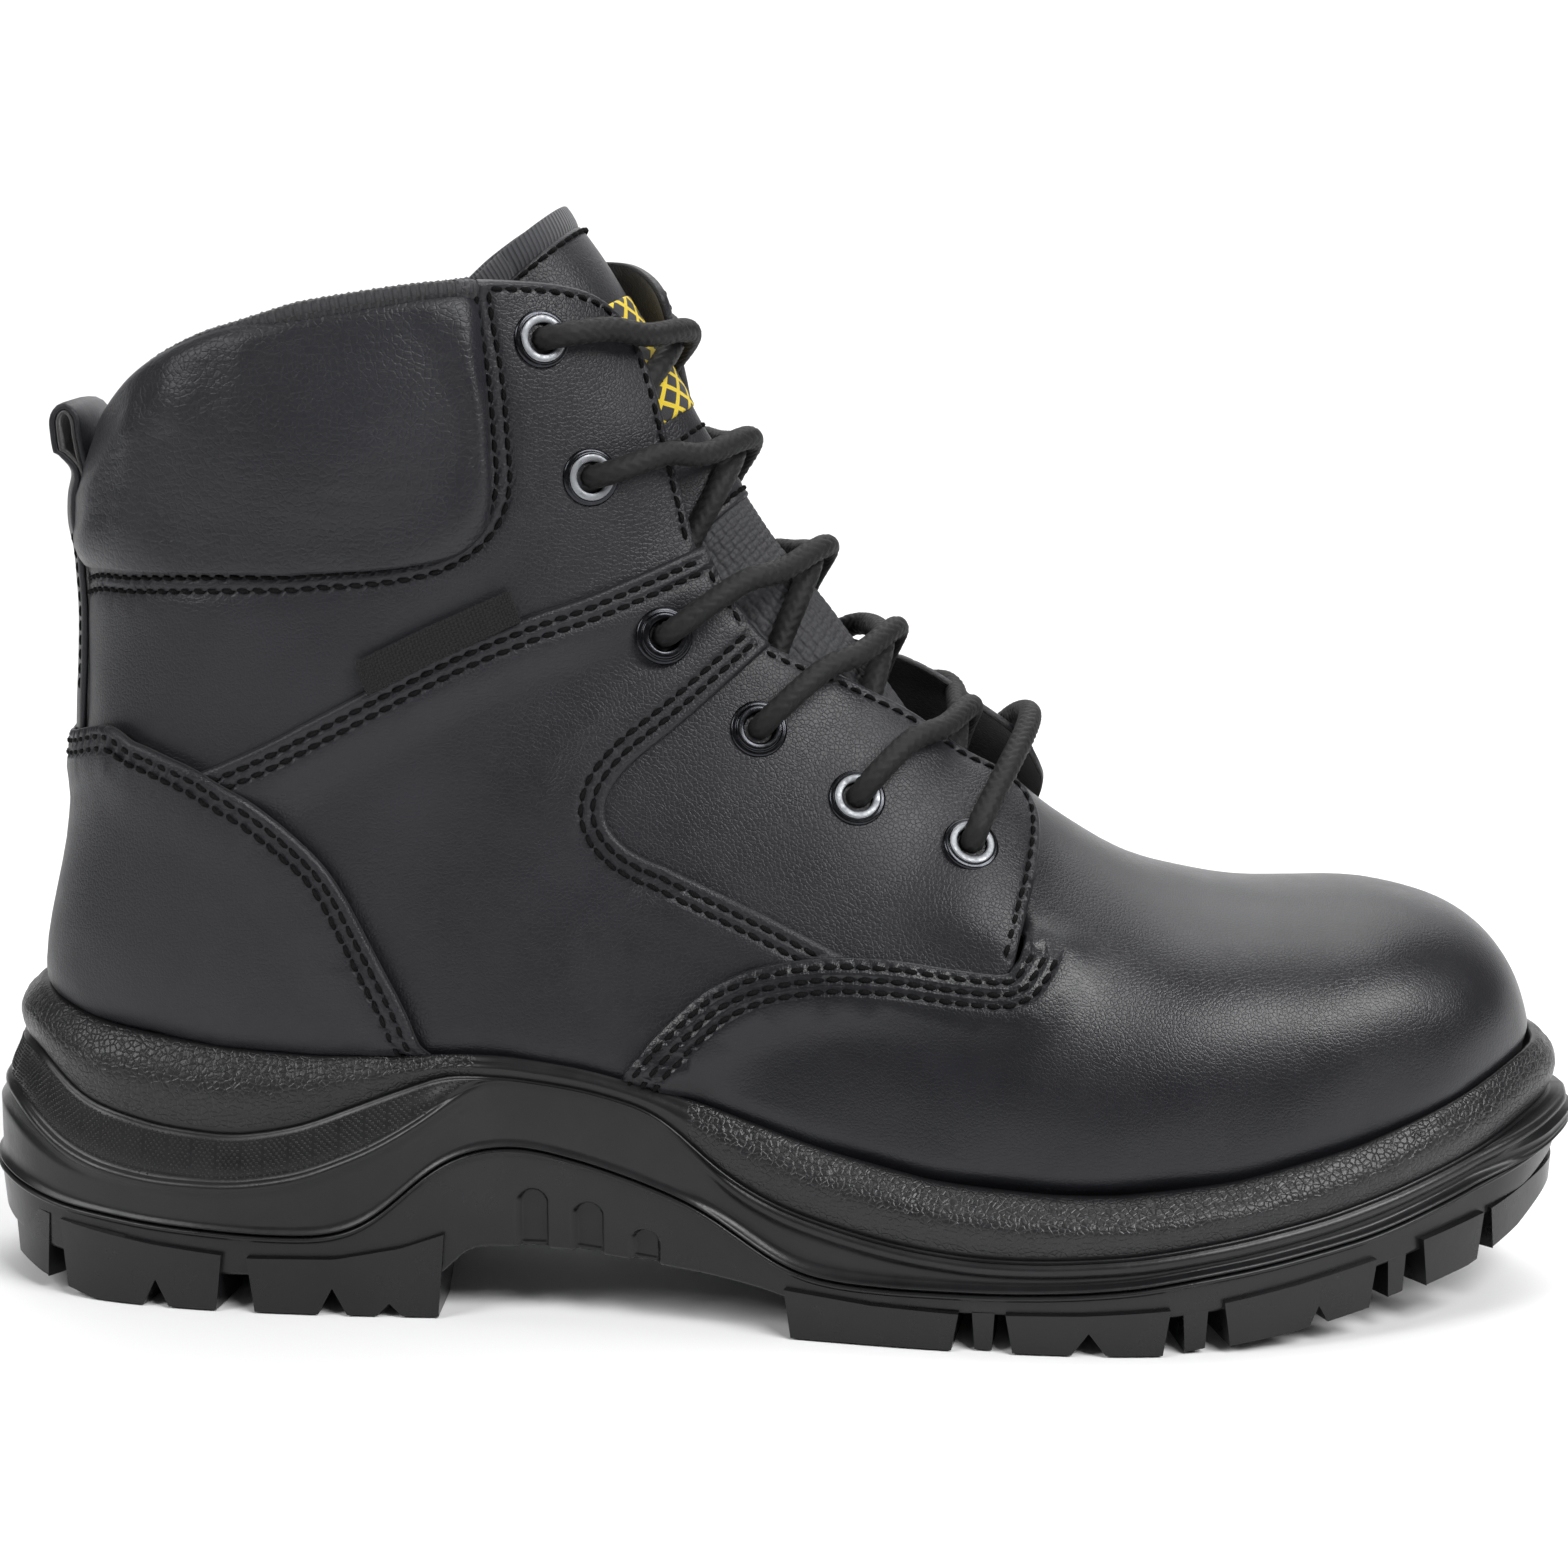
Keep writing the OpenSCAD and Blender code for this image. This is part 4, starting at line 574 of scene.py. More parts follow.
for j, t in enumerate(jj):
    q = lerp(lo_, to_, -.06 + 1.0*t) if t < .999 else to_
    q = lerp(lo_, to_, lerp(-.08, 1.0, t))
    base = -1.6 - 1.1*(1 - endf)
    cen = np.exp(-((np.arange(NI) - (NI - 1)/2)/(NI*.13))**2)
    puff = 5.4*(1 - .04*cen)*np.sin(np.pi*min(1, .03 + t*.97))**.42*(1 - .2*t)
    V[:, j] = at(q[:, 0], q[:, 1], base + puff*(np.sin(np.pi/2*np.clip(endf, .0, 1))**.6))
PADMID = V[NI//2].copy()
# soft creases of the cover, mostly lengthwise
PN = unit(np.cross(np.gradient(V, axis=0), np.gradient(V, axis=1))); PN = PN*np.where((PN[NI//2, NJ//2] @ np.array([-1, 0, 0])) > 0, 1, -1)
L1 = np.concatenate([[0], np.cumsum(np.linalg.norm(np.diff(V[:, NJ//2], axis=0), axis=1))]); inn_ = np.minimum(1, np.minimum(np.arange(NJ), np.arange(NJ)[::-1])/5.0)
CR = np.array([[1 - abs(noise.noise(Vector((L1[i]*.045, j*.34, 3.1))))*2.2 + .5*noise.noise(Vector((L1[i]*.11, j*.8, 9.0))) for j in range(NJ)] for i in range(NI)])
V = V + PN*(.11*(CR - .6)*inn_[None]*endf[:, None])[..., None]
def to_obj(name, V, F, **k): return mesh(name, V, F, M["collar"], **k)
pad = to_obj("collar_pad", V.reshape(-1, 3), grid_faces(NI, NJ), repl=["collar_cover", "collar_foam"], slot="leather_collar", uv=None)
pad_normals = None
# the cover is fuller than its frame: sewn round its edge, it swells and creases
src = pad.data; n = len(src.vertices); rest = np.empty(n*3); src.vertices.foreach_get("co", rest); rest = rest.reshape(-1, 3)
# simulate ten times larger, where cloth settles well
sim_me = src.copy(); K = 10.0; big = (rest*K).astype(np.float32); sim_me.vertices.foreach_set("co", big.ravel()); sim_me.update()
so = bpy.data.objects.new("sim_collar", sim_me); bpy.context.scene.collection.objects.link(so)
vg = so.vertex_groups.new(name="pin")
rim_idx = [i*NJ + j for i in range(NI) for j in range(NJ) if j in (0, 1, NJ - 1) or i in (0, NI - 1)]
vg.add(rim_idx, 1.0, "REPLACE")
md = so.modifiers.new("cloth", "CLOTH"); st = md.settings
st.vertex_group_mass = "pin"; st.use_pressure = True; st.uniform_pressure_force = 2.0; st.shrink_min = -.02; st.shrink_max = -.02
st.effector_weights.gravity = 0; st.quality = 6; st.tension_stiffness = 25; st.compression_stiffness = 25; st.shear_stiffness = 8; st.bending_stiffness = 2.0; st.air_damping = 4
md.collision_settings.use_collision = False
sc = bpy.context.scene
for f in range(1, 21): sc.frame_set(f)
dg = bpy.context.evaluated_depsgraph_get(); ev = so.evaluated_get(dg).to_mesh(); out = np.empty(n*3); ev.vertices.foreach_get("co", out); out = out.reshape(-1, 3)/K
sc.frame_set(1)
mv = out - rest; L = np.linalg.norm(mv, axis=1, keepdims=True); mv = mv*np.minimum(1, .0018/np.maximum(L, 1e-9))
g = mv.reshape(NI, NJ, 3)
for _ in range(14):         # the foam behind evens the cover out
    h_ = g.copy(); h_[1:-1, 1:-1] = g[1:-1, 1:-1]*.4 + (g[2:, 1:-1] + g[:-2, 1:-1] + g[1:-1, 2:] + g[1:-1, :-2])*.15; g = h_
mv = g.reshape(-1, 3)
bpy.data.objects.remove(so)
src.vertices.foreach_set("co", (rest + mv).astype(np.float32).ravel()); src.update()
sb = pad.modifiers.new("fine", "SUBSURF"); sb.levels = 1; sb.render_levels = 1
so_ = pad.modifiers.new("cloth_thickness", "SOLIDIFY"); so_.thickness = .0010; so_.offset = -1

# inside of the collar: padded lining that falls into the shaft, round the back
def ring_line(o, drop, n=150):
    return None
IN = []
K1 = 16
for j in range(K1):
    t = j/(K1 - 1)
    q = lerp(to_, lo_, t*1.05)
    IN.append(at(q[:, 0], q[:, 1], -1.8 - .8*min(1, t*9) - 3.2*np.sin(np.pi*min(1, t*1.1))**.7*(1 - .3*t) - 2.6*smooth(t*3)))
Vi = np.stack(IN, 1)
lin = mesh("collar_inner_lining", Vi.reshape(-1, 3), grid_faces(NI, K1, flip=True), M["mesh"], slot="lining_textile")
sl = lin.modifiers.new("t", "SOLIDIFY"); sl.thickness = .0008; sl.offset = 1

# ------------------------------------------------------------------ swept pieces
def frames(P, up=None):
    T = unit(np.gradient(P, axis=0)); n = np.zeros_like(P)
    m = np.array(up if up is not None else (0, 0, 1.0)); 
    for i in range(len(P)):
        m = m - (m@T[i])*T[i]; m = m/np.linalg.norm(m); n[i] = m
    return T, n, np.cross(T, n)
def sweep(name, P, prof, mat, body="root", repl=(), slot=None, up=None, disp=None, caps=True, N=None):
    """prof: closed section points (a along the frame's normal, b across it), or a function of the index"""
    T, n, b = frames(P, up)
    if N is not None: n = unit(N - (N*T).sum(-1, keepdims=True)*T); b = np.cross(T, n)
    rings = []
    for i in range(len(P)):
        pr = prof(i) if callable(prof) else prof
        rings.append(P[i] + pr[:, :1]*n[i] + pr[:, 1:]*b[i])
    R = np.stack(rings); m = R.shape[1]
    F = [tuple(f) for f in grid_faces(len(P), m, close_j=True)]
    V = R.reshape(-1, 3)
    if caps:
        V = np.concatenate([V, [R[0].mean(0)], [R[-1].mean(0)]]); c0, c1 = len(V) - 2, len(V) - 1
        F += [(j, (j + 1) % m, c0)[::-1] for j in range(m)][:0] + [((j + 1) % m, j, c0) for j in range(m)]
        F += [((len(P) - 1)*m + j, (len(P) - 1)*m + (j + 1) % m, c1) for j in range(m)]
    L = np.concatenate([[0], np.cumsum(np.linalg.norm(np.diff(P, axis=0), axis=1))])
    uv = np.stack([np.repeat(L, m), np.tile(np.arange(m)*6.0/m, len(P))], -1)
    if caps: uv = np.concatenate([uv, [[0, 0], [L[-1], 0]]])
    o = mesh(name, V, F, mat, body, repl, slot, uv=uv)
    return o
def circle(r, k=16, sq=1.0): 
    a = np.arange(k)*math.tau/k; return np.stack([np.cos(a)*r, np.sin(a)*r*sq], -1)

# ribbed knit binding along the collar's top
q = cat(CTo, np.linspace(0, len(CTo) - 1, 900)); hid = smooth((-82 - at(q[:, 0], q[:, 1], 0)[:, 0])/16)
P = at(q[:, 0], q[:, 1], -1.5 - 1.6*hid) + np.array([0, 0, 1.0])*(.9 - 1.5*hid)[:, None]
P = resample3(P, .45); k = 22; a = np.arange(k)*math.tau/k
def knit(i):
    rib = .13*math.cos(i*.45/1.15*math.tau); c, s_ = np.cos(a), np.sin(a)
    r = 1 + .05*np.cos(a*7 + (i*.45/1.15)*math.tau*.5)
    return np.stack([(2.0 + rib)*np.abs(c)**.8*np.sign(c)*r, (1.9 + rib)*np.abs(s_)**.8*np.sign(s_)*r], -1)
sweep("collar_knit_binding", P, knit, M["knit"], repl=["collar_binding"], slot="knit_binding", up=(0, 0, 1))

# ------------------------------------------------------------------ sole
SOLE = np.array([[-154.5, 0, 0], [-153.2, 9, 0], [-149.5, 17, 0], [-142, 25, 0], [-129, 32, 0], [-110, 36.5, 0], [-88, 38.5, 0],
    [-68, 38.5, -.5], [-50, 38, -1], [-30, 38.5, -2], [-10, 41.5, -2.5], [10, 45.5, -2.5], [30, 50, -1.5], [50, 53, -.6],
    [70, 54, .2], [88, 52.5, 1.8], [104, 48.5, 3.2], [118, 43, 4.2], [130, 36, 5], [140, 27.5, 5], [148, 17.5, 5],
    [153, 8.5, 5], [154.5, 0, 5]], float)
Z_PART = table([[-154, 23], [-137, 18], [-118, 16], [-97, 14.8], [-84, 14.9], [-76, 17], [-70.5, 21.5], [-64.7, 27.3], [-59, 31.2], [-52, 33.2], [-45, 33.6],
    [-32, 30.5], [-19.6, 26.6], [-11.3, 23.4], [-4.3, 18.7], [1.4, 14.9], [6, 12.4], [13.3, 11], [24, 10.6], [45, 10.7], [57, 11.2], [70, 12.3], [81, 14], [96.5, 16.2], [114.8, 19.4], [135, 25], [155, 32]])
Z_A = table([[-156, 47.5], [-150, 47.2], [-144, 45.6], [-139, 41.8], [-132.9, 38.6], [-117.2, 34.9], [-101.1, 33.6], [-88, 36], [-78.5, 39.8], [-66.4, 44.4], [-59.4, 47], [-50, 47.4],
    [-34, 45.4], [-21, 42.2], [-17.8, 40.5], [-13.1, 35.8], [-7.1, 30.3], [-.6, 26.7], [5, 24.3], [16.8, 21], [27.2, 18.9], [39.5, 17.5], [52.5, 17.4], [69.9, 18.6], [87.4, 21], [105.3, 24], [119.3, 27.5], [133.9, 31.6], [145.9, 35.6], [155, 38.5]])
Z_B = table([[-156, 40], [-150, 38.4], [-145.8, 35.7], [-138.4, 30.4], [-129.2, 27.2], [-117.5, 25.3], [-101.3, 25], [-88.2, 27.1], [-73.7, 33], [-62.9, 39.8], [-54.4, 46.4], [-50, 46.9]])
Z_SLAB = table([[-156, 14], [-150, 11], [-142, 8.5], [-125, 6.5], [-61, 6.5], [-57, 13.5], [-38, 13.5], [-11, 10.5], [0, 8.5], [6, 6.5], [78, 6.5], [100, 9.5], [115, 12.5], [134, 16.5], [145, 21], [155, 27]])
Z_GROUND = table([[-156, 9], [-150, 6], [-142, 3], [-130, 0], [78, 0], [100, 3], [115, 6], [134, 10], [145, 14.5], [155, 21]])
Z_LEDGE = table([[-156, 18.5], [-142.8, 16], [-136.5, 14.8], [-118, 12.3], [-102.4, 10.9], [-98, 10.6], [-81.3, 11], [-68.8, 13.4], [-57.1, 17.4], [4.2, 9.3], [20.7, 7.6], [36.8, 7.0], [60, 7.6], [75.8, 8.6], [85.8, 9.6], [100, 12], [115, 15], [124.5, 17.2], [138, 20], [155, 25]])
NS = 640
tt = np.linspace(0, 22, NS + 1)
# even spacing along the outline
O_ = cat(SOLE, np.linspace(0, 22, 4000)); lat = np.stack([O_[:, 0], O_[:, 2] - O_[:, 1]], -1); med = np.stack([O_[:, 0], O_[:, 2] + O_[:, 1]], -1)
def even(Q, n):
    L = np.concatenate([[0], np.cumsum(np.linalg.norm(np.diff(Q, axis=0), axis=1))]); t = np.linspace(0, L[-1], n + 1)
    return np.stack([np.interp(t, L, Q[:, 0]), np.interp(t, L, Q[:, 1])], -1)
LO, MO = even(lat, NS), even(med, NS)
OUT = np.concatenate([LO, MO[-2:0:-1]]); NG = len(OUT)
def closed_normals(Q):
    T = unit(np.roll(Q, -1, 0) - np.roll(Q, 1, 0)); n = np.stack([-T[:, 1], T[:, 0]], -1); return n
ON = closed_normals(OUT)
for _ in range(6): ON = unit(np.roll(ON, 1, 0) + 2*ON + np.roll(ON, -1, 0))
OX = OUT[:, 0]
SGN = np.concatenate([np.full(NS + 1, -1), np.full(NS - 1, 1)])
# the line where the upper sits: on the upper's surface, matched to the outline by angle of travel
def seat_line():
    pts = []
    fr = np.concatenate([np.linspace(0, 1, NS + 1), np.linspace(1, 0, NS + 1)[1:-1]])
    key = np.linspace(0, 1, 61); tab = {}
    for sg in (-1, 1):
        L = []
        for f in key:
            i = int(round(f*NS)); X = (LO if sg < 0 else MO)[i, 0]
            x = np.interp(X, [-154.5, -149, -140, -120, 120, 143, 150, 154.5], [-141.6, -139.6, -133.5, -117.5, 117.5, 138, 145.4, 148.2])
            z = float(Z_TOP(x))
            if f < 1e-6: L.append([*surf(15.75, 1.0), 1]); continue
            if f > 1 - 1e-6: L.append([*surf(.35, 0.0), 1]); continue
            s, u = side(x, z, sg); p = surf(s, u); n = normal(s, u); L.append([*(p + 0*n), 1])
        tab[sg] = np.array(L)
    out = np.zeros((NG, 3))
    for sg in (-1, 1):
        m = SGN == sg
        for k in range(3): out[m, k] = np.interp(fr[m], key, tab[sg][:, k])
    for _ in range(3): out = (np.roll(out, 1, 0) + 2*out + np.roll(out, -1, 0))/4
    return out
SEAT = seat_line()
def pos(d, z):
    d = np.broadcast_to(np.asarray(d, float), (NG,)); z = np.broadcast_to(np.asarray(z, float), (NG,))
    p = OUT + ON*d[:, None]; return np.concatenate([p, z[:, None]], -1)
wh = smooth((-50 - OX)/14); wf = smooth((OX + 20)/18); ww = 1 - wh - wf
zt, za, zp, zs, zl = Z_TOP(OX), Z_A(OX), Z_PART(OX), Z_SLAB(OX), Z_LEDGE(OX)
zb = np.where(OX < -50, Z_B(OX), za - .4)
def ease(a, n=90):
    for _ in range(n): a = (np.roll(a, 1) + 2*a + np.roll(a, -1))/4
    return a
nE = 90
zt, za, zp, zs, zl, zb = ease(zt, nE), ease(za, nE), ease(zp, nE), ease(zs, nE//2), ease(zl, nE//2), ease(zb, nE)
bk = smooth((-126 - OX)/24); ft = smooth((OX - 134)/15)
d_bulge = 2.4*wh + .1*wf + .5*ww + 2.2*bk; d_crease = 3.9*wh + 1.7*wf + .9*ww + 1.8*bk; d_b2 = 1.5*wh + 1.2*wf + .9*ww + .7*bk
d_lip = .55*wh + .35*wf + .8*ww + .5*bk - 2.6*ft; d_wall = 1.3*wh + 2.0*wf + 1.1*ww - 1.2*bk - 5.2*ft; d_part = 1.0 - 1.6*bk - 3.6*ft
lipw = wh + wf
rows = []; tagrow = []
inner = SEAT.copy(); c2 = np.array([0, 0])
def seatmix(f, d, z):
    p = pos(d, z); q = SEAT.copy(); r = q*(1 - f) + p*f; r[:, 2] = z; return r
inn = SEAT + np.concatenate([ON, np.zeros((NG, 1))], -1)*3.0; inn[:, 2] = SEAT[:, 2] - 3
rows.append(inn); tagrow.append(0)
a0 = SEAT + np.concatenate([ON, np.zeros((NG, 1))], -1)*(-.25); a0[:, 2] = SEAT[:, 2] - .5
rows.append(a0); tagrow.append(0)
NB = 30
zt2 = SEAT[:, 2]*.5 + zt*.5
for q in np.linspace(.02, 1, NB):
    f = math.sin(min(q/.6, 1)*math.pi/2)**.85
    z = zt2 + .9*math.sin(min(q/.25, 1)*math.pi)*.6 + .3 - (zt2 + .3 - za)*(q**1.2)
    if q <= .6: r = seatmix(f, d_bulge, z)
    else: r = pos(d_bulge + (d_crease - d_bulge)*((q - .6)/.4)**1.8, z)
    rows.append(r); tagrow.append(1 if .08 < q < .95 else 0)
rows.append(pos(d_crease + .15, za - .15)); tagrow.append(0)
NB2 = 8
for q in np.linspace(0, 1, NB2):
    rows.append(pos(lerp(d_crease - .75, d_b2, smooth(q*.9)) - .25*math.sin(q*math.pi), lerp(za - .35, zb, q))); tagrow.append(2)
for dd, zz in ((0.25, .15), (-.15, .5), (-.45, .95), (-.5, 1.5), (-.25, 2.1), (.25, 2.7)):
    rows.append(pos(lerp(d_wall, d_lip + .5 + dd, lipw), zb - zz)); tagrow.append(0)
zq = zb - 2.7
for q in (.15, .3, .45, .6, .75, .88):
    rows.append(pos(d_wall + .5*np.sin(q*math.pi)*wf, lerp(zq, zp + 1.1, q))); tagrow.append(0)
for dd, zz in ((.15, 1.1), (-.25, .8), (-.3, .55), (.3, .3), (.35, .1), (1.6, 0)):
    rows.append(pos(d_part + dd, zp + zz)); tagrow.append(0)
rows.append(pos(9, zp + 0)); tagrow.append(0)
R = np.stack(rows); tg = np.array(tagrow)
# moulded grain on the rim: real relief
msk = np.where(tg == 1)[0]
fade = np.maximum(wh, wf)
for j in msk:
    P = R[j]; amp = .12*fade*min(1, (j - msk[0] + 1)/3, (msk[-1] - j + 1)/3)
    nz = np.array([noise.voronoi(Vector((p[0]*.72, p[1]*.72, p[2]*.72)))[0][0] for p in P])
    nz2 = np.array([noise.noise(Vector((p[0]*1.6 + 7, p[1]*1.6, p[2]*1.6))) for p in P])
    h = (.42 - nz)*1.3 + nz2*.5
    R[j, :, :2] -= ON*(amp*h)[:, None]; R[j, :, 2] += amp*h*.35
mid_V = R.reshape(-1, 3); mid_F = grid_faces(len(R), NG, close_j=True)
rim_faces = np.repeat(((tg[:-1] == 1) & (tg[1:] == 1)).astype(int), NG)*np.tile((fade > .25).astype(int), len(R) - 1)
mesh("midsole_moulded", mid_V, mid_F[:, ::-1], [M["sole"], M["rim"]], repl=["midsole"], slot="midsole_pu", fmat=rim_faces)
# dotted band of the heel: rows of small raised points
j0 = [j for j in range(len(tg)) if tg[j] == 2]
Vd, Fd = [], []
bt, bb = R[j0[0]], R[j0[-1]]
step = .0; arc = np.concatenate([[0], np.cumsum(np.linalg.norm(np.diff(OUT, axis=0), axis=1))])
pit = 1.25
for gi in np.arange(0, arc[-1], pit*.5):
    k = np.searchsorted(arc, gi); k = min(k, NG - 2); x = OX[k]
    if x > -55: continue
    h = bt[k, 2] - bb[k, 2]
    if h < 1.2: continue
    par = int(round(gi/(pit*.5))) % 2
    nrow = int((h - .5)/pit)
    for r_ in range(nrow):
        zf = (r_ + .5 + .5*par)*pit/h + .02
        if zf > .96: continue
        jj_ = zf*(len(j0) - 1); ja = int(jj_); p = lerp(R[j0[ja], k], R[j0[min(ja + 1, len(j0) - 1)], k], jj_ - ja)
        n = np.array([-ON[k, 0], -ON[k, 1], .28]); n /= np.linalg.norm(n); t = np.array([-n[1], n[0], 0]); t /= np.linalg.norm(t); b_ = np.cross(n, t)
        c0 = len(Vd)
        for q_ in range(5):
            g = math.tau*q_/5; Vd.append(p + .40*(t*math.cos(g) + b_*math.sin(g)) - n*.06)
        Vd.append(p + n*.30)
        for q_ in range(5): Fd.append((c0 + q_, c0 + (q_ + 1) % 5, c0 + 5))
mesh("heel_band_dots", np.array(Vd), Fd, M["sole"], slot="midsole_pu")

# outsole wall, with three arched recesses each side of the waist
orow = []
ARCH = [(-43.6, 25.2, 2.9), (-33.1, 23.0, 2.9), (-22.3, 18.4, 2.7)]
def arches(x, z):
    m = np.zeros_like(x)
    for cx, top, hw in ARCH:
        dx = np.abs(x - cx); rr = hw
        inside_ = np.where(z < top - rr, dx - hw, np.hypot(dx, z - (top - rr)) - rr)
        m = np.maximum(m, smooth(-inside_/.55 + .3))
    return m
orow.append(pos(9, zp - .15)); orow.append(pos(2.6, zp - .15))
d_ow = -1.9*bk - 2.2*ft
for dd, zz in ((1.35, .12), (.85, .25), (.7, .6), (.8, .95), (1.5, 1.3)): orow.append(pos(dd + d_ow, zp - zz))
NW = 34
for q in np.linspace(.04, 1, NW):
    z = lerp(zp - 1.3, zs + 1.0, q); d = 1.55 + d_ow*(1 - .35*q)
    d = d + 2.2*arches(OX, z)
    orow.append(pos(d, z))
for dd, zz in ((1.75, .5), (2.3, .12), (3.2, 0)): orow.append(pos(dd + d_ow*.65 + 1.6*arches(OX, zs + 1.0), zs + zz))
cx = np.clip(OX, -124, 121); cy = np.interp(cx, SOLE[:, 0], SOLE[:, 2])
last = pos(9, zs); orow.append(last)
for f in (.25, .5, .75, 1.0):
    p = last*(1 - f) + np.stack([cx, cy, Z_SLAB(cx)], -1)*f; p[:, 2] = Z_SLAB(p[:, 0]); orow.append(p)
RO = np.stack(orow)
oV = [RO.reshape(-1, 3)]; oF = [grid_faces(len(RO), NG, close_j=True)[:, ::-1]]; nofs = len(RO)*NG

# tread blocks that follow the outline
def idx_at(x, sg):
    rng = np.arange(0, NS + 1) if sg < 0 else np.concatenate([[0], np.arange(NG - 1, NS - 1, -1)])
    return float(np.interp(x, OX[rng], np.arange(len(rng)))), rng
def pos_at(sg, f, rng, d):
    i = int(min(max(f, 0), len(rng) - 1.001)); w = f - i; a, b_ = rng[i], rng[min(i + 1, len(rng) - 1)]
    o = OUT[a]*(1 - w) + OUT[b_]*w; n = unit(ON[a]*(1 - w) + ON[b_]*w); return o + n*d
BL_V, BL_F = [], []
def tread(xa, xb, sg, d0=.25, d1=17, notches=(), taper=1.3, top=None, bottom=None, run=None):
    """a block along the outline from xa to xb; notches are (x, depth, half width)"""
    fa, rng = idx_at(xa, sg); fb, _ = idx_at(xb, sg)
    if run is not None: fa, fb, rng = run
    L = abs(fb - fa); n = max(6, int(L/2.2)); fs = list(np.linspace(fa, fb, n))
    for nx, dp, hw in notches:
        for e in (-hw, 0, hw):
            fs.append(idx_at(nx + e, sg)[0])
    fs = sorted(set(round(f, 3) for f in fs)); keep = [fs[0]]
    for f in fs[1:]:
        if f - keep[-1] > .35: keep.append(f)
    keep[-1] = fs[-1]; fs = keep
    base = sum(len(v) for v in BL_V); V = []
    for k, f in enumerate(fs):
        e = 1 if k == 0 else (-1 if k == len(fs) - 1 else 0)
        o = pos_at(sg, f, rng, 0); x = o[0]
        zg = float(Z_GROUND(x)) if bottom is None else bottom; zl_ = float(Z_LEDGE(x)) if top is None else top; zsl = float(Z_SLAB(x)) + .4
        for nx, dp, hw in notches: zg = max(zg, zg + dp*max(0, 1 - abs(x - nx)/hw))
        df = taper*e/ max(.2, np.linalg.norm(OUT[1] - OUT[0])) if e else 0
        for d, z, low in ((d0, zl_, 0), (d0 + .25, zg, 1), (d1 - 1.6, zg, 1), (d1, zsl, 0), (d0 + 1.6, zl_ + .15, 0)):
            p = pos_at(sg, f + (df if low else 0), rng, d); V.append([p[0], p[1], z])
    m = 5; F = []
    for k in range(len(fs) - 1):
        for j in range(m):
            a, b_ = base + k*m + j, base + k*m + (j + 1) % m; F.append((a, b_, b_ + m, a + m))
    F.append(tuple(base + j for j in range(m))[::-1]); F.append(tuple(base + (len(fs) - 1)*m + j for j in range(m)))
    if sg < 0: F = [f[::-1] for f in F]
    BL_V.append(np.array(V)); BL_F.extend(F)
for sg in (-1, 1):
    tread(-149, -139.5, sg, notches=())
    tread(-137, -103.5, sg, notches=[(-117, 5.2, 2.6)])
    tread(-98.5, -60.3, sg, notches=[(-82, 5.2, 2.8), (-71, 2.4, 2.4)])
    tread(4.5, 37, sg, d1=20)
    tread(45.7, 76, sg, d1=20, notches=[(61, 4.2, 3.2)])
    tread(86, 115, sg, d1=19, notches=[(104, 3.6, 1.8)])
    tread(124.3, 137, sg, d1=17)
    for a, b_ in ((39.4, 43.6), (78.6, 83.4), (118, 121.8)): tread(a, b_, sg, d0=1.6, d1=15, taper=.5)
# toe bumper, round the front
fa, rgl = idx_at(138.6, -1); ga = int(round(fa)); fm, rgm = idx_at(138.6, 1); gb = int(rgm[int(round(fm))])
tread(0, 0, -1, d1=15, run=(float(ga), float(gb), np.arange(NG)))
def slab_block(poly, z0=None, z1=None, tap=1.0):
    """a tread block with a given outline in plan"""
    base = sum(len(v) for v in BL_V); c = np.mean(poly, 0); V = []
    for x, y in poly: V.append([x, y, float(Z_SLAB(x)) + .5])
    for x, y in poly:
        v = np.array([x, y]) - c; k = 1 - tap/np.linalg.norm(v); q = c + v*k; V.append([q[0], q[1], float(Z_GROUND(q[0]))])
    n = len(poly); BL_V.append(np.array(V))
    for j in range(n): BL_F.append((base + j, base + (j + 1) % n, base + n + (j + 1) % n, base + n + j)[::-1])
    BL_F.append(tuple(base + n + j for j in range(n))[::-1]); BL_F.append(tuple(base + j for j in range(n)))
for x in (-128, -108, -89, -71):
    w = 12 if x > -120 else 9; slab_block([(x - 6, -w), (x + 2, -w - 1), (x + 7, 0), (x + 2, w + 1), (x - 6, w), (x - 1, 0)])
for x, w in ((12, 21), (30, 26), (48, 29), (66, 30), (88, 28), (108, 22)):
    cyy = float(np.interp(x, SOLE[:, 0], SOLE[:, 2])); w1 = w - 4
    slab_block([(x - 8, cyy - w1), (x - 1, cyy - w1), (x + 6, cyy - 2), (x - 1, cyy - 2)]); slab_block([(x - 1, cyy + 2), (x + 6, cyy + 2), (x - 1, cyy + w1), (x - 8, cyy + w1)])
mesh("outsole_body", np.concatenate(oV), np.concatenate(oF), M["out"], repl=["outsole"], slot="outsole_rubber")
tb = mesh("tread_blocks", np.concatenate(BL_V), BL_F, M["out"], slot="outsole_rubber")
bv = tb.modifiers.new("round", "BEVEL"); bv.width = .00055; bv.segments = 2; bv.limit_method = "ANGLE"; bv.angle_limit = math.radians(28)
wn = tb.modifiers.new("wn", "WEIGHTED_NORMAL"); wn.keep_sharp = True
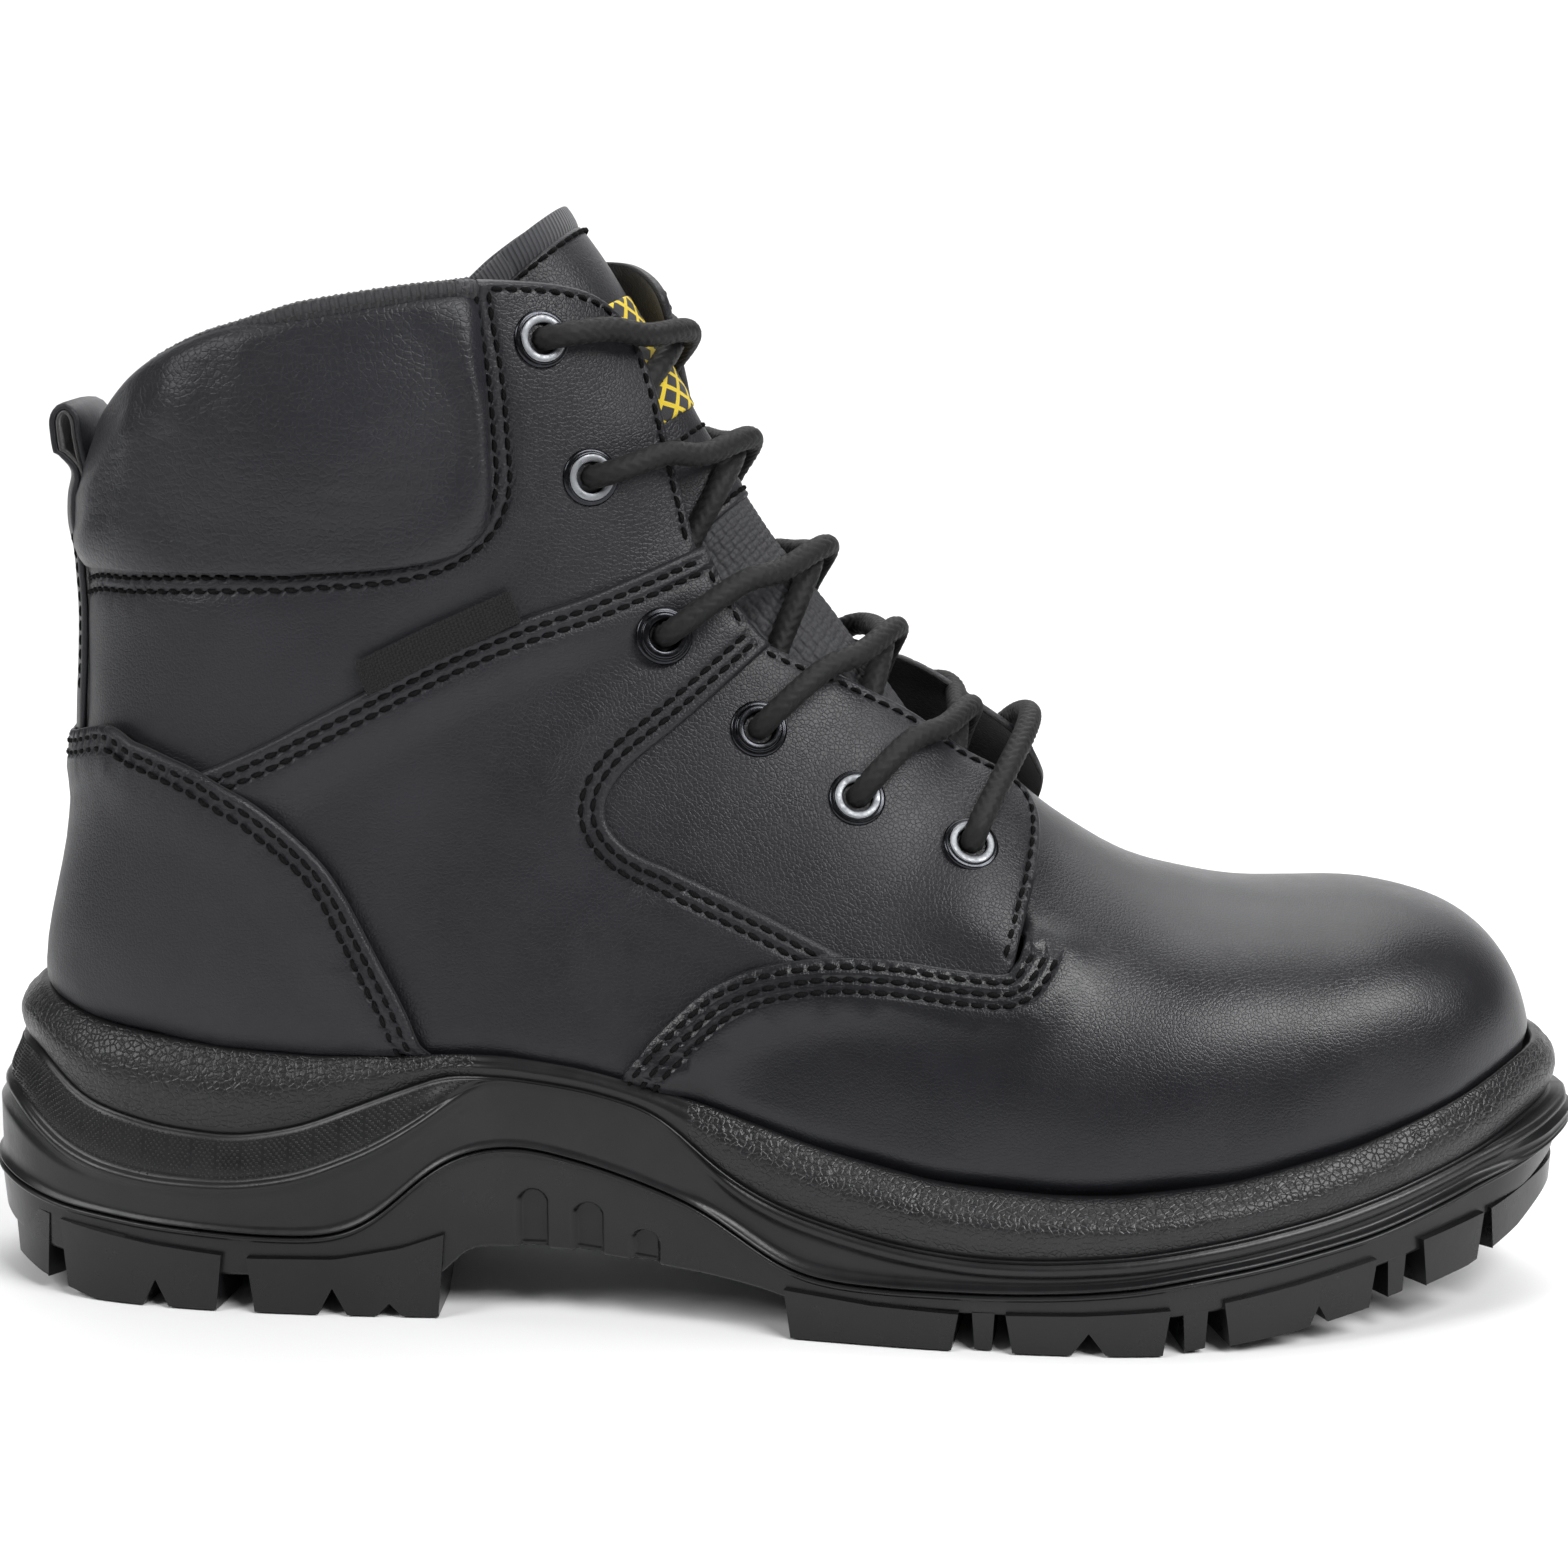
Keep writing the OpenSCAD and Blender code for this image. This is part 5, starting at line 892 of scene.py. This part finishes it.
# ------------------------------------------------------------------ tongue
def tface(s, u): return -8.6 + (.8 + 3.8*smooth((np.asarray(s, float) - 9.6)/2.6))*np.maximum(0, 1 - (np.asarray(u, float)/.2)**2)
def tw(s, u):
    """rounds the tongue's top corners"""
    s = np.asarray(s, float); return s - (1.0*(np.abs(u)/.3)**2 + .2)*smooth((s - 17.2)/3.8)
T_LOW = np.array([[9.35, -.16], [10.2, -.22], [11.5, -.25], [13, -.27], [15, -.29], [17, -.295], [19, -.295], [21.35, -.28]])
nt_, mt_ = 150, 46
tl = cat(T_LOW, np.linspace(0, 7, nt_)); fu = np.linspace(-1, 1, mt_)
Ss = np.repeat(tl[:, :1], mt_, 1); Uu = -tl[:, 1:]*fu[None]
edge = 1 - np.abs(fu)[None]**6; endt = np.minimum(1, (nt_ - 1 - np.arange(nt_))/5.0)[:, None]**.5*.7 + .3
thick_ = 5.4*np.sqrt(np.clip(edge*endt, 0, 1)) + .2
Ss = tw(Ss, Uu); to = tface(Ss, Uu) - 2.8; top = at(Ss, Uu, to + thick_/2); bot = at(Ss, Uu, to - thick_/2)
V = np.concatenate([top.reshape(-1, 3), bot.reshape(-1, 3)]); n = nt_*mt_
F = [tuple(f) for f in grid_faces(nt_, mt_)] + [tuple(f[::-1] + n) for f in grid_faces(nt_, mt_)]
rim_i = [i*mt_ for i in range(nt_)] + [(nt_ - 1)*mt_ + j for j in range(1, mt_)] + [i*mt_ + mt_ - 1 for i in range(nt_ - 2, -1, -1)] + [j for j in range(mt_ - 2, 0, -1)]
for k in range(len(rim_i)):
    a, b_ = rim_i[k], rim_i[(k + 1) % len(rim_i)]; F.append((a, b_, b_ + n, a + n))
uvt = np.stack([Ss*12.5, Uu*135], -1).reshape(-1, 2)
tp = mesh("tongue_pad", V, F, [M["twill"], M["mesh"]], "tongue", repl=["tongue"], slot="webbing", uv=np.concatenate([uvt, uvt]), fmat=[0]*((nt_ - 1)*(mt_ - 1)) + [1]*((nt_ - 1)*(mt_ - 1)) + [0]*len(rim_i))
# the pad swells where nothing is sewn over it: its borders and its back
fuv = np.abs(fu)
held = [i*mt_ + j for i in range(nt_) for j in range(mt_) if fuv[j] < .8 or j in (0, mt_ - 1) or i in (0, nt_ - 1)] + [n + i*mt_ + j for i in range(nt_) for j in range(mt_) if j in (0, mt_ - 1) or i in (0, nt_ - 1)]
swell(tp, held, 2.0, -.02, 10, .0009)

# coarse basket-woven textile, woven in relief
na, nb_ = ((260, 300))
s_ = np.linspace(9.5, 14.55, na)[:, None]; u_ = np.linspace(-.235, .235, nb_)[None]
wlim = np.interp(s_, [9.5, 10.2, 11.5, 14.6], [.165, .2, .225, .235]); u2 = u_/.235*wlim
Ss = np.broadcast_to(s_, (na, nb_)); Uu = np.broadcast_to(u2, (na, nb_))
X = (s_ - 9.5)*16.5/1.95; Y = u_*118/1.7
X = np.broadcast_to(X, (na, nb_)); Y = np.broadcast_to(Y, (na, nb_))
cell = (np.floor(X) + np.floor(Y)) % 2
fx, fy = X % 1, Y % 1
yarn = np.where(cell > .5, np.sin(np.pi*fx)**.5*(.75 + .25*np.abs(np.sin(2*np.pi*fy))), np.sin(np.pi*fy)**.5*(.75 + .25*np.abs(np.sin(2*np.pi*fx))))
P = at(Ss, Uu, tface(Ss, Uu) + .18 + .42*yarn)
wb = mesh("tongue_webbing", P.reshape(-1, 3), grid_faces(na, nb_), M["web"], "tongue", slot="webbing", uv=np.stack([X*1.9, Y*1.7], -1).reshape(-1, 2))

# leather patch on the tongue, its stitching, and the plain label
def tongue_panel(name, loop_edges, thick, lift, mat, repl=(), rows_mat=None, **kw):
    f = lambda s, u, P: tface(s, u)
    return panel(name, loop_edges, thick, mat, under=lift, body="tongue", repl=repl, pads=[f], **kw)
def TW(s, u): return [float(tw(s, u)), u]
low = [[14.2, -.2], [14.15, -.1], [14.1, 0], [14.15, .1], [14.2, .2], [14.2, .245]]
tongue_panel("tongue_leather_patch", [
    dict(c=[[14.2, -.245]] + low, free=True, rows=[1.8], skip=(1, 1)),
    dict(c=[[14.2, .245], [15.5, .255], [17, .262], TW(18, .262), TW(19, .258), TW(20, .256), TW(21.05, .25)], free=True, rows=[]),
    dict(c=[TW(21.05, .25), TW(21.1, .13), TW(21.1, 0), TW(21.1, -.13), TW(21.05, -.25)], free=True, rows=[]),
    dict(c=[TW(21.05, -.25), TW(20, -.256), TW(19, -.258), TW(18, -.262), [17, -.262], [15.5, -.255], [14.2, -.245]], free=True, rows=[])],
    1.1, .22, M["leather"], repl=["tongue_patch"], edge_mat=M["edge"], h=2.2)
def label_material():
    """a plain woven label: black with an even yellow lattice"""
    m, nt, b = nodes_of("label_weave"); v = coords(nt, uv=True); sx = nt.nodes.new("ShaderNodeSeparateXYZ"); nt.links.new(v, sx.inputs[0])
    X = math_node(nt, "MULTIPLY", sx.outputs[0], 150.0); Y = math_node(nt, "MULTIPLY", sx.outputs[1], 150.0)
    def line(a): 
        f = math_node(nt, "ABSOLUTE", math_node(nt, "SUBTRACT", math_node(nt, "FRACT", a), .5)); return math_node(nt, "LESS_THAN", f, .13)
    d = math_node(nt, "MAXIMUM", line(math_node(nt, "ADD", X, Y)), line(math_node(nt, "SUBTRACT", X, Y)))
    wv = math_node(nt, "ABSOLUTE", math_node(nt, "SINE", math_node(nt, "MULTIPLY", sx.outputs[0], 9000.0)))
    wy = math_node(nt, "ABSOLUTE", math_node(nt, "SINE", math_node(nt, "MULTIPLY", sx.outputs[1], 9000.0)))
    w = math_node(nt, "MULTIPLY", math_node(nt, "ADD", wv, wy), .5)
    yel = ramp(nt, w, [(.1, (.42, .27, .01)), (.7, (.80, .60, .03))]); blk = ramp(nt, w, [(.1, (.006, .006, .007)), (.8, (.03, .03, .033))])
    mx = nt.nodes.new("ShaderNodeMix"); mx.data_type = "RGBA"; nt.links.new(d, mx.inputs[0]); nt.links.new(blk, mx.inputs[6]); nt.links.new(yel, mx.inputs[7])
    nt.links.new(mx.outputs[2], b.inputs["Base Color"]); nt.links.new(bump(nt, w, .6, .0003), b.inputs["Normal"])
    nt.links.new(ramp(nt, w, [(.1, .7), (.9, .5)]), b.inputs["Roughness"]); return m
tongue_panel("tongue_plain_label", [
    dict(c=[[16.4, -.13], [16.35, 0], [16.4, .13]], free=True, rows=[]), dict(c=[[16.4, .13], [17.8, .135], [19.1, .13]], free=True, rows=[]),
    dict(c=[[19.1, .13], [19.15, 0], [19.1, -.13]], free=True, rows=[]), dict(c=[[19.1, -.13], [17.8, -.135], [16.4, -.13]], free=True, rows=[])],
    .5, 1.25, label_material(), repl=["tongue_label"], slot="label", h=1.6, r=.5)
# a stitched line across the patch under the label
tr = np.stack([np.full(41, 15.9), np.linspace(-.2, .2, 41)], -1); stitch_row(resample_su(tr, 1.5), tface(15.9, resample_su(tr, 1.5)[:, 1]) + 1.2)
# twill binding folded over the tongue's top edge
ub = np.linspace(-.283, .283, 160); sb_ = tw(21.2, ub); P = at(sb_, ub, tface(21.0, ub) - 2.1)
Nn = unit(at(sb_, ub, 2.0) - at(sb_, ub, 0.0))
def fold(i):
    e = min(1, i/6, (159 - i)/6)**.5*.9 + .1
    # a along the normal, b along the tongue's length
    pts = [(3.25, -3.6), (3.45, -3.3), (3.5, -1.5), (3.3, .6), (2.6, 2.0), (1.2, 2.8), (-.4, 2.9), (-1.9, 2.3), (-2.9, 1.0), (-3.1, -1.2), (-3.1, -3.4), (-2.5, -3.6), (-2.4, -1.4), (-1.4, .3), (.4, .9), (2.0, .2), (2.7, -1.4), (2.8, -3.6)]
    return np.array(pts)*[e, 1]
bd = sweep("tongue_top_binding", P, fold, M["twill"], "tongue", repl=["tongue_binding"], slot="knit_binding", N=Nn)
sbm = bd.modifiers.new("s", "SUBSURF"); sbm.levels = 1; sbm.render_levels = 1
ur = np.linspace(-.262, .262, 200); Rr = resample_su(np.stack([tw(20.95, ur), ur], -1), 1.5)
stitch_row(Rr, tface(20.9, Rr[:, 1]) + 1.55)
# lace keeper: a narrow ribbed band sewn across
ks = np.linspace(-.068, .068, 60); bulge = 1.0 + .75*np.clip(1 - (ks/.05)**4, 0, 1)
P = at(np.full(60, 12.68), ks, tface(12.68, ks) + bulge); Nn = unit(at(np.full(60, 12.68), ks, 2.0) - at(np.full(60, 12.68), ks, 0.0))
bw = np.linspace(-2.4, 2.4, 26)
sec = np.concatenate([np.stack([.45 + .16*np.cos(bw*math.tau/1.2), bw], -1), np.stack([np.full(26, -.3), bw[::-1]], -1)])
sweep("tongue_keeper_band", P, sec, M["web"], "tongue", repl=["tongue_lace_keeper"], slot="webbing", N=Nn)
flush_threads("tongue_stitching", "tongue")

# ------------------------------------------------------------------ eyelets
EYES = [[-41, 184], [-32.5, 158.5], [-19.5, 128.5], [-1.5, 111], [17, 98], [38, 88.5]]
EYE = [side(x, z) for x, z in EYES]
def aboveq(k): return 1.35 if k == 2 else 0.0
def atf(s, u, o):
    s, u = np.broadcast_arrays(np.asarray(s, float), np.asarray(u, float))
    return at(s, u, np.asarray(o, float) + flap(s, u))
def eye_frame(k, g):
    s, u = EYE[k][0], g*abs(EYE[k][1]); e = .05; du = .006
    over = aboveq(k) + float(over_vamp(np.array(s), np.array(u)))
    c = atf(s, u, over); n = unit(np.cross(atf(s, u + du, 0) - atf(s, u - du, 0), atf(s + e, u, 0) - atf(s - e, u, 0))); return c, n
prof = [(2.75, -3.3), (2.75, -.2), (2.78, .35), (2.88, .8), (3.1, 1.04), (3.65, 1.13), (4.15, 1.08), (4.36, .9), (4.5, .62), (5.1, .5), (5.42, .14), (5.3, -.12), (4.9, -.2), (3.3, -.15), (3.25, -3.3)]
prof = np.array(prof); pp = cat(prof, np.linspace(0, len(prof) - 1, 48))
for sg, nm in ((-1, "lateral"), (1, "medial")):
    V, F = [], []
    for k in range(6):
        c, n = eye_frame(k, sg); t = unit(np.cross(n, [0, 0, 1.0])); b_ = np.cross(n, t); kk = 56; base = len(V)*1
        base = sum(len(v) for v in V)
        a = np.arange(kk)*math.tau/kk; ring = np.cos(a)[:, None]*t + np.sin(a)[:, None]*b_
        V.append((c + pp[:, None, :1]*ring[None] + pp[:, None, 1:]*n).reshape(-1, 3)); F += [tuple(f) for f in grid_faces(len(pp), kk, close_j=True, off=base)]
    # painted highlight: the crowns of eyelets 1, 2, 5 and 6 get the brighter metal where light catches them; eyelets 3
    # and 4 keep the dark gunmetal
    nr, kk = len(pp), 56; fm = []
    for k in range(6):
        for i in range(nr - 1):
            r_, z_ = (pp[i] + pp[i + 1])/2; fm += [1 if (k not in (2, 3) and 2.95 < r_ < 4.34 and z_ > .8) else 0]*kk
    mesh("eyelets_rolled_" + nm, np.concatenate(V), F, [M["gun"], M["ring"]], repl=["eyelets_" + nm], slot="eyelet_metal", fmat=fm)

# ------------------------------------------------------------------ lace
IN = -4.8
def P3(s, u, t): return atf(s, u, t)
def eyp(k, g, t): 
    c, n = eye_frame(k, g); return c + n*t
def strand(k, g):
    a, b_ = EYE[k], EYE[k + 1]; c = aboveq(k); ua, ub2 = abs(a[1]), abs(b_[1]); mid = (a[0] + b_[0])/2
    return [eyp(k, g, -3.6), eyp(k, g, -1.0), eyp(k, g, 1.9), P3(lerp(a[0], b_[0], .05), g*(ua - .028), c + 4.1), P3(lerp(a[0], b_[0], .17), g*(ua - .085), c + 4.2),
            at(lerp(a[0], b_[0], .33), g*.125, 4.2 + (flap(lerp(a[0], b_[0], .33), g*.2)*.72)),
            at(mid, g*.012, 4.6 if g < 0 else .5), at(lerp(a[0], b_[0], .64), -g*.085, -.6 if g < 0 else -2.0), at(lerp(a[0], b_[0], .8), -g*.165, IN - .5),
            at(lerp(a[0], b_[0], .92), -g*(ub2 - .035), IN - .3 + .6*float(flap(b_[0], -g*.28)))]
def tailp(g): return [at(p[0], g*p[1], IN - .1) for p in ((17.35, .285), (17.9, .292), (18.35, .288))] 
def rev(L): return L[::-1]
path = tailp(-1) + strand(0, -1) + strand(1, 1) + strand(2, -1) + strand(3, 1) + strand(4, -1) + \
    [eyp(5, 1, -3.2), eyp(5, 1, 0), eyp(5, 1, 2.6), P3(9.62, .2, 5.2), at(9.62, .125, 13.0), at(9.6, .045, 11.2), at(9.57, -.035, 8.8), P3(9.56, -.12, 6.0), P3(9.58, -.2, 4.4), eyp(5, -1, 2.6), eyp(5, -1, 0), eyp(5, -1, -3.2)] + \
    rev(strand(4, 1)) + rev(strand(3, -1)) + rev(strand(2, 1)) + rev(strand(1, -1)) + rev(strand(0, 1)) + rev(tailp(1))
path = np.array(path)
def relax(P, it):
    for _ in range(it):
        Q = P.copy(); Q[1:-1] = P[1:-1]*.6 + (P[:-2] + P[2:])*.2; P = Q
    return P
LP = cat(path, np.linspace(0, len(path) - 1, len(path)*24)); LP = resample3(LP, .5); LP = relax(LP, 90)
LP = resample3(LP, .4); stp = np.linalg.norm(LP[1] - LP[0]); K = 30
ang = np.arange(K)*math.tau/K
LEN = np.linalg.norm(np.diff(LP, axis=0), axis=1).sum()
def braid(i):
    l = i*stp; w = 8
    A = (w*ang/math.tau + l/2.1); Bq = (w*ang/math.tau - l/2.1)
    over = ((np.floor(A) + np.floor(Bq)) % 4) < 2
    h = np.where(over, np.abs(np.sin(np.pi*A))**.7, np.abs(np.sin(np.pi*Bq))**.7)
    r = 1.92 + .4*h; return np.stack([np.cos(ang)*r, np.sin(ang)*r], -1)
sweep("lace_braided", LP, braid, M["lace"], repl=["lace"], slot="lace_braid", up=(0, 1, 0))

# ------------------------------------------------------------------ pull loop, side tag
pm_ = [[float(PADMID[j, 0]) - .5, float(PADMID[j, 2])] for j in (2, 8, 14, 20)]
TAB = np.array([[-135.0, 106], [-134.6, 113.5], [-134.0, 122], [-133.6, 131], [-133.8, 138]] + pm_ + [[-135.6, 162.0], [-136.1, 165.4], [-136.1, 168.2], [-134.7, 169.8], [-133.2, 168.3], [-132.8, 165.0], [-132.0, 160.5], [-130.6, 156]], float)
tp_ = cat(TAB, np.linspace(0, len(TAB) - 1, 220)); P = resample3(np.stack([tp_[:, 0], np.zeros(220), tp_[:, 1]], -1), .7)
T = unit(np.gradient(P, axis=0)); Nn = np.stack([-T[:, 2], 0*T[:, 0], T[:, 0]], -1)   # outward of the strip
hw = 11.8
def hug(i, pr):
    """the strip follows the round of the heel, less so up at the loop"""
    w = smooth((165 - P[i, 2])/9)*(i < len(P)*.7); q = pr.copy(); q[:, 0] -= (.019*w + .004)*q[:, 1]**2; return q
def strip(a0, a1):
    w = hw; e = .45
    return np.array([(a0, -w + e), (a0 + .15, -w + .12), ((a0 + a1)/2, -w), (a1 - .2, -w + .1), (a1, -w + .6), (a1, -6), (a1, 0), (a1, 6), (a1, w - .6), (a1 - .2, w - .1), ((a0 + a1)/2, w), (a0 + .15, w - .12), (a0, w - e), (a0, 5), (a0, -5)])
sweep("pull_loop_leather", P, lambda i: hug(i, strip(.75, 2.0)), M["leather"], repl=["pull_tab"], slot="webbing", N=Nn)
sweep("pull_loop_backing", P, lambda i: hug(i, strip(0, .7)), M["suede"], slot="webbing", N=Nn)
for e in (-1, 1):       # stitches down both edges of the loop's lower leg
    idx = np.arange(14, 62, 1)
    Q = P[idx] + Nn[idx]*(2.0 - .023*(hw - 2.2)**2) + np.array([0, 1, 0])*e*(hw - 2.2)
    Vv, Ff = [], []
    for k in range(0, len(Q) - 4, 4):
        a, b_ = Q[k], Q[k + 4]; Tt = unit(b_ - a); nn = Nn[idx][k + 2]; Bb = np.cross(Tt, nn); base = len(Vv)
        for w, rr, z in ((.05, .5, -.45), (.2, .95, -.2), (.5, 1.1, -.08), (.8, .95, -.2), (.95, .5, -.45)):
            c = a*(1 - w) + b_*w + nn*z
            for q_ in range(6): g = math.tau*q_/6; Vv.append(c + .42*rr*(Bb*math.cos(g) + nn*.8*math.sin(g)))
        for i in range(4):
            for q_ in range(6): a0 = base + i*6 + q_; b0 = base + i*6 + (q_ + 1) % 6; Ff.append((a0, b0, b0 + 6, a0 + 6))
    THREADS.append((np.array(Vv), Ff))
flush_threads("pull_loop_stitching")
tA = np.array(S2((-73, 119.3), (-60, 125.8), (-45.5, 132.4))); tB = np.array(S2((-75, 125.6), (-62, 131.8), (-47.5, 138.2)))
na, nb_ = 40, 10; tt_ = np.linspace(0, 2, na)
lo2, hi2 = cat(tA, tt_), cat(tB, tt_); Vt = []
for j in range(nb_):
    f = j/(nb_ - 1); q = lerp(lo2, hi2, f); Vt.append(at(q[:, 0], q[:, 1], 2.3 - .9*f + .25*math.sin(f*math.pi)))
Vt = np.stack(Vt, 1).reshape(-1, 3)
tg_ = mesh("side_tag_folded", Vt, grid_faces(na, nb_), M["tag"], repl=["side_tag"], slot="webbing", uv=np.stack([np.repeat(np.arange(na)*.8, nb_), np.tile(np.arange(nb_)*.75, na)], -1))
s1 = tg_.modifiers.new("t", "SOLIDIFY"); s1.thickness = .0011; s1.offset = 0
s2 = tg_.modifiers.new("b", "BEVEL"); s2.width = .0003; s2.segments = 2

# ------------------------------------------------------------------ textile inside the boot
LIN_A = S2((36, 29.5), (24, 30), (4, 33), (-24, 36), (-52, 38), (-80, 39), (-104, 41.5), (-124, 46)) + [[16.3, -.985], [18.3, -.985], [20.55, -.985]]
LIN_B = [[9.05, -.34], [9.7, -.34], [10.5, -.34], [11.4, -.34], [12.4, -.34], [13.5, -.34], [14.8, -.34], [16.2, -.34], [17.6, -.34], [19, -.345], [20.35, -.36]]
def cloth_grid(name, lo, to, n, m, body, repl):
    """a lining cloth between two lines, with the slack of loose textile"""
    a_, b_ = cat(lo, np.linspace(0, len(lo) - 1, n)), cat(to, np.linspace(0, len(to) - 1, n)); G_ = []
    for f in np.linspace(0, 1, m):
        q = lerp(a_, b_, f); p0 = at(q[:, 0], q[:, 1], 0)
        w_ = np.array([noise.noise(Vector((p[0]*.06, p[1]*.06 + 4, p[2]*.06))) for p in p0])
        G_.append(at(q[:, 0], q[:, 1], -5.45 + .3*w_))
    o = mesh(name, np.stack(G_, 1).reshape(-1, 3), grid_faces(n, m), M["mesh"], body, repl=repl, slot="lining_textile")
    t_ = o.modifiers.new("t", "SOLIDIFY"); t_.thickness = .0008; t_.offset = 0
    return o
cloth_grid("shaft_lining_textile_lateral", LIN_A, LIN_B, 130, 34, "root", ["quarter_lining_lateral"])
cloth_grid("shaft_lining_textile_medial", mir(LIN_A), mir(LIN_B), 130, 34, "root", ["quarter_lining_medial"])
cloth_grid("toe_lining_textile", [[.9, u_/10] for u_ in range(-6, 7)], [[8.7, u_/10] for u_ in range(-6, 7)], 110, 60, "root", ["vamp_lining"])
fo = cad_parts["footbed"]; CF = np.array([tuple(fo.matrix_world @ v.co) for v in fo.data.vertices])*1000
xf = np.unique(np.round(CF[:, 0], 1)); sel = [CF[np.abs(CF[:, 0] - x) < .25] for x in xf]
fy0, fy1 = np.array([q[:, 1].min() for q in sel]), np.array([q[:, 1].max() for q in sel]); fz0, fz1 = np.array([q[:, 2].min() for q in sel]), np.array([q[:, 2].max() for q in sel])
nf, mf = 120, 34; Xf = np.linspace(xf[0], xf[-1], nf); vv = np.linspace(-1, 1, mf); rings = []
for k, x in enumerate(Xf):
    e_ = min(1, (k + .4)/5, (nf - 1 - k + .4)/5)**.5; ca, ha = (np.interp(x, xf, fy0) + np.interp(x, xf, fy1))/2, (np.interp(x, xf, fy1) - np.interp(x, xf, fy0))/2*e_
    z0_, z1_ = np.interp(x, xf, fz0) + .1, np.interp(x, xf, fz1); th = z1_ - z0_
    topz = z1_ - th*.55*np.abs(vv)**14 - .5*(1 - vv**2)*(.5 + .5*math.cos(x*.03)) - (1 - e_)*th*.5
    up_ = np.stack([np.full(mf, x), ca + ha*vv, topz], -1); dn_ = np.stack([np.full(mf, x), ca + ha*vv[::-1]*.99, np.full(mf, z0_)], -1); rings.append(np.concatenate([up_, dn_]))
Rf = np.stack(rings); mm_ = Rf.shape[1]
bk_ = np.clip((-60 - Rf[..., 0])/(-60 - xf[0]), 0, 1)**2; Rf[..., 0] -= 8*bk_; Rf[..., 1] *= 1 + .05*bk_      # the felt is cut full and reaches the back lining
Ff = [tuple(f) for f in grid_faces(nf, mm_, close_j=True)] + [tuple(range(mm_))[::-1], tuple((nf - 1)*mm_ + j for j in range(mm_))]
mesh("footbed_felt", Rf.reshape(-1, 3), Ff, M["foot"], "footbed", repl=["footbed"], slot="footbed_textile")

# ------------------------------------------------------------------ CAD nodes that stay, with real materials
def paint(node, key):
    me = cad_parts[node].data; me.materials.clear(); me.materials.append(M[key])
for n_, k_ in dict(puncture_plate="steel", insole_board="board", steel_toecap="steel", toecap_edge_strip="out", heel_stiffener="board",
                   quarter_foam_lateral="foam", quarter_foam_medial="foam", eyelet_washers_lateral="zinc",
                   eyelet_washers_medial="zinc", aglets="plastic").items(): paint(n_, k_)

# ------------------------------------------------------------------ floor and light
pr = [(-2.2, 0.0), (-1.0, 0.0), (0.0, 0.0), (.9, 0.0)] + [(.9 + .9*math.sin(a), .9 - .9*math.cos(a)) for a in np.linspace(.1, math.pi/2, 16)] + [(1.8, 1.6), (1.8, 3.0)]
sv = [(x*1000, y*1000, z*1000 - .4) for x in np.linspace(-3, 3, 9) for y, z in pr]
fme = bpy.data.meshes.new("floor"); fme.from_pydata([(x*.001, y*.001, z*.001) for x, y, z in sv], [], [tuple(map(int, f)) for f in grid_faces(9, len(pr), flip=True)[:, ::-1]])
fme.polygons.foreach_set("use_smooth", np.full(len(fme.polygons), True)); fme.update()
fl = bpy.data.objects.new("floor", fme); bpy.context.scene.collection.objects.link(fl)
fm, fnt, fb = nodes_of("floor_paper"); fc = ramp(fnt, tex_noise(fnt, coords(fnt), 3, 3), [(.3, (.84, .84, .845)), (.7, (.87, .87, .875))])
# painted shade: the floor's colour is multiplied down to 0.28 towards the front (object y from -0.3 to -0.85 m), so the
# floor in front of the boot reflects less light onto its lower side
fs = fnt.nodes.new("ShaderNodeSeparateXYZ"); fnt.links.new(coords(fnt), fs.inputs[0])
ff = fnt.nodes.new("ShaderNodeMapRange"); ff.interpolation_type = "SMOOTHSTEP"; fnt.links.new(fs.outputs[1], ff.inputs[0])
for k_, v_ in ((1, -.85), (2, -.3), (3, .28), (4, 1.0)): ff.inputs[k_].default_value = v_
fx_ = fnt.nodes.new("ShaderNodeMix"); fx_.data_type = "RGBA"; fx_.blend_type = "MULTIPLY"; fx_.inputs[0].default_value = 1.0
fnt.links.new(fc, fx_.inputs[6]); fnt.links.new(ff.outputs[0], fx_.inputs[7]); fnt.links.new(fx_.outputs[2], fb.inputs["Base Color"]); fb.inputs["Roughness"].default_value = .8
fb.inputs["Specular IOR Level"].default_value = .2
fl.data.materials.append(fm)
bpy.context.scene.view_settings.view_transform = "Standard"
w = bpy.data.worlds.new("w"); bpy.context.scene.world = w; w.use_nodes = True
w.node_tree.nodes["Background"].inputs[0].default_value = (1, 1, 1, 1); w.node_tree.nodes["Background"].inputs[1].default_value = .14
def area(name, loc, target, size, power, sy=None):
    l = bpy.data.lights.new(name, "AREA"); l.energy = power; l.size = size; l.shape = "RECTANGLE"; l.size_y = sy or size
    o = bpy.data.objects.new(name, l); bpy.context.scene.collection.objects.link(o); o.location = loc
    d = Vector(target) - Vector(loc); o.rotation_euler = d.to_track_quat("-Z", "Y").to_euler()
area("top_soft", (.3, .75, 1.35), (.05, 0, .1), 1.2, 9)
area("front_left", (-1.1, -.8, 1.0), (-.05, 0, .12), .6, 12)
area("front_right", (.75, -1.0, 1.35), (.0, 0, .13), .65, 20)
area("side_right", (1.25, -.75, 1.0), (.02, 0, .12), .5, 13)
area("backdrop", (0, .6, 2.2), (0, 1.7, .5), 1.6, 26)

bpy.context.view_layer.update()
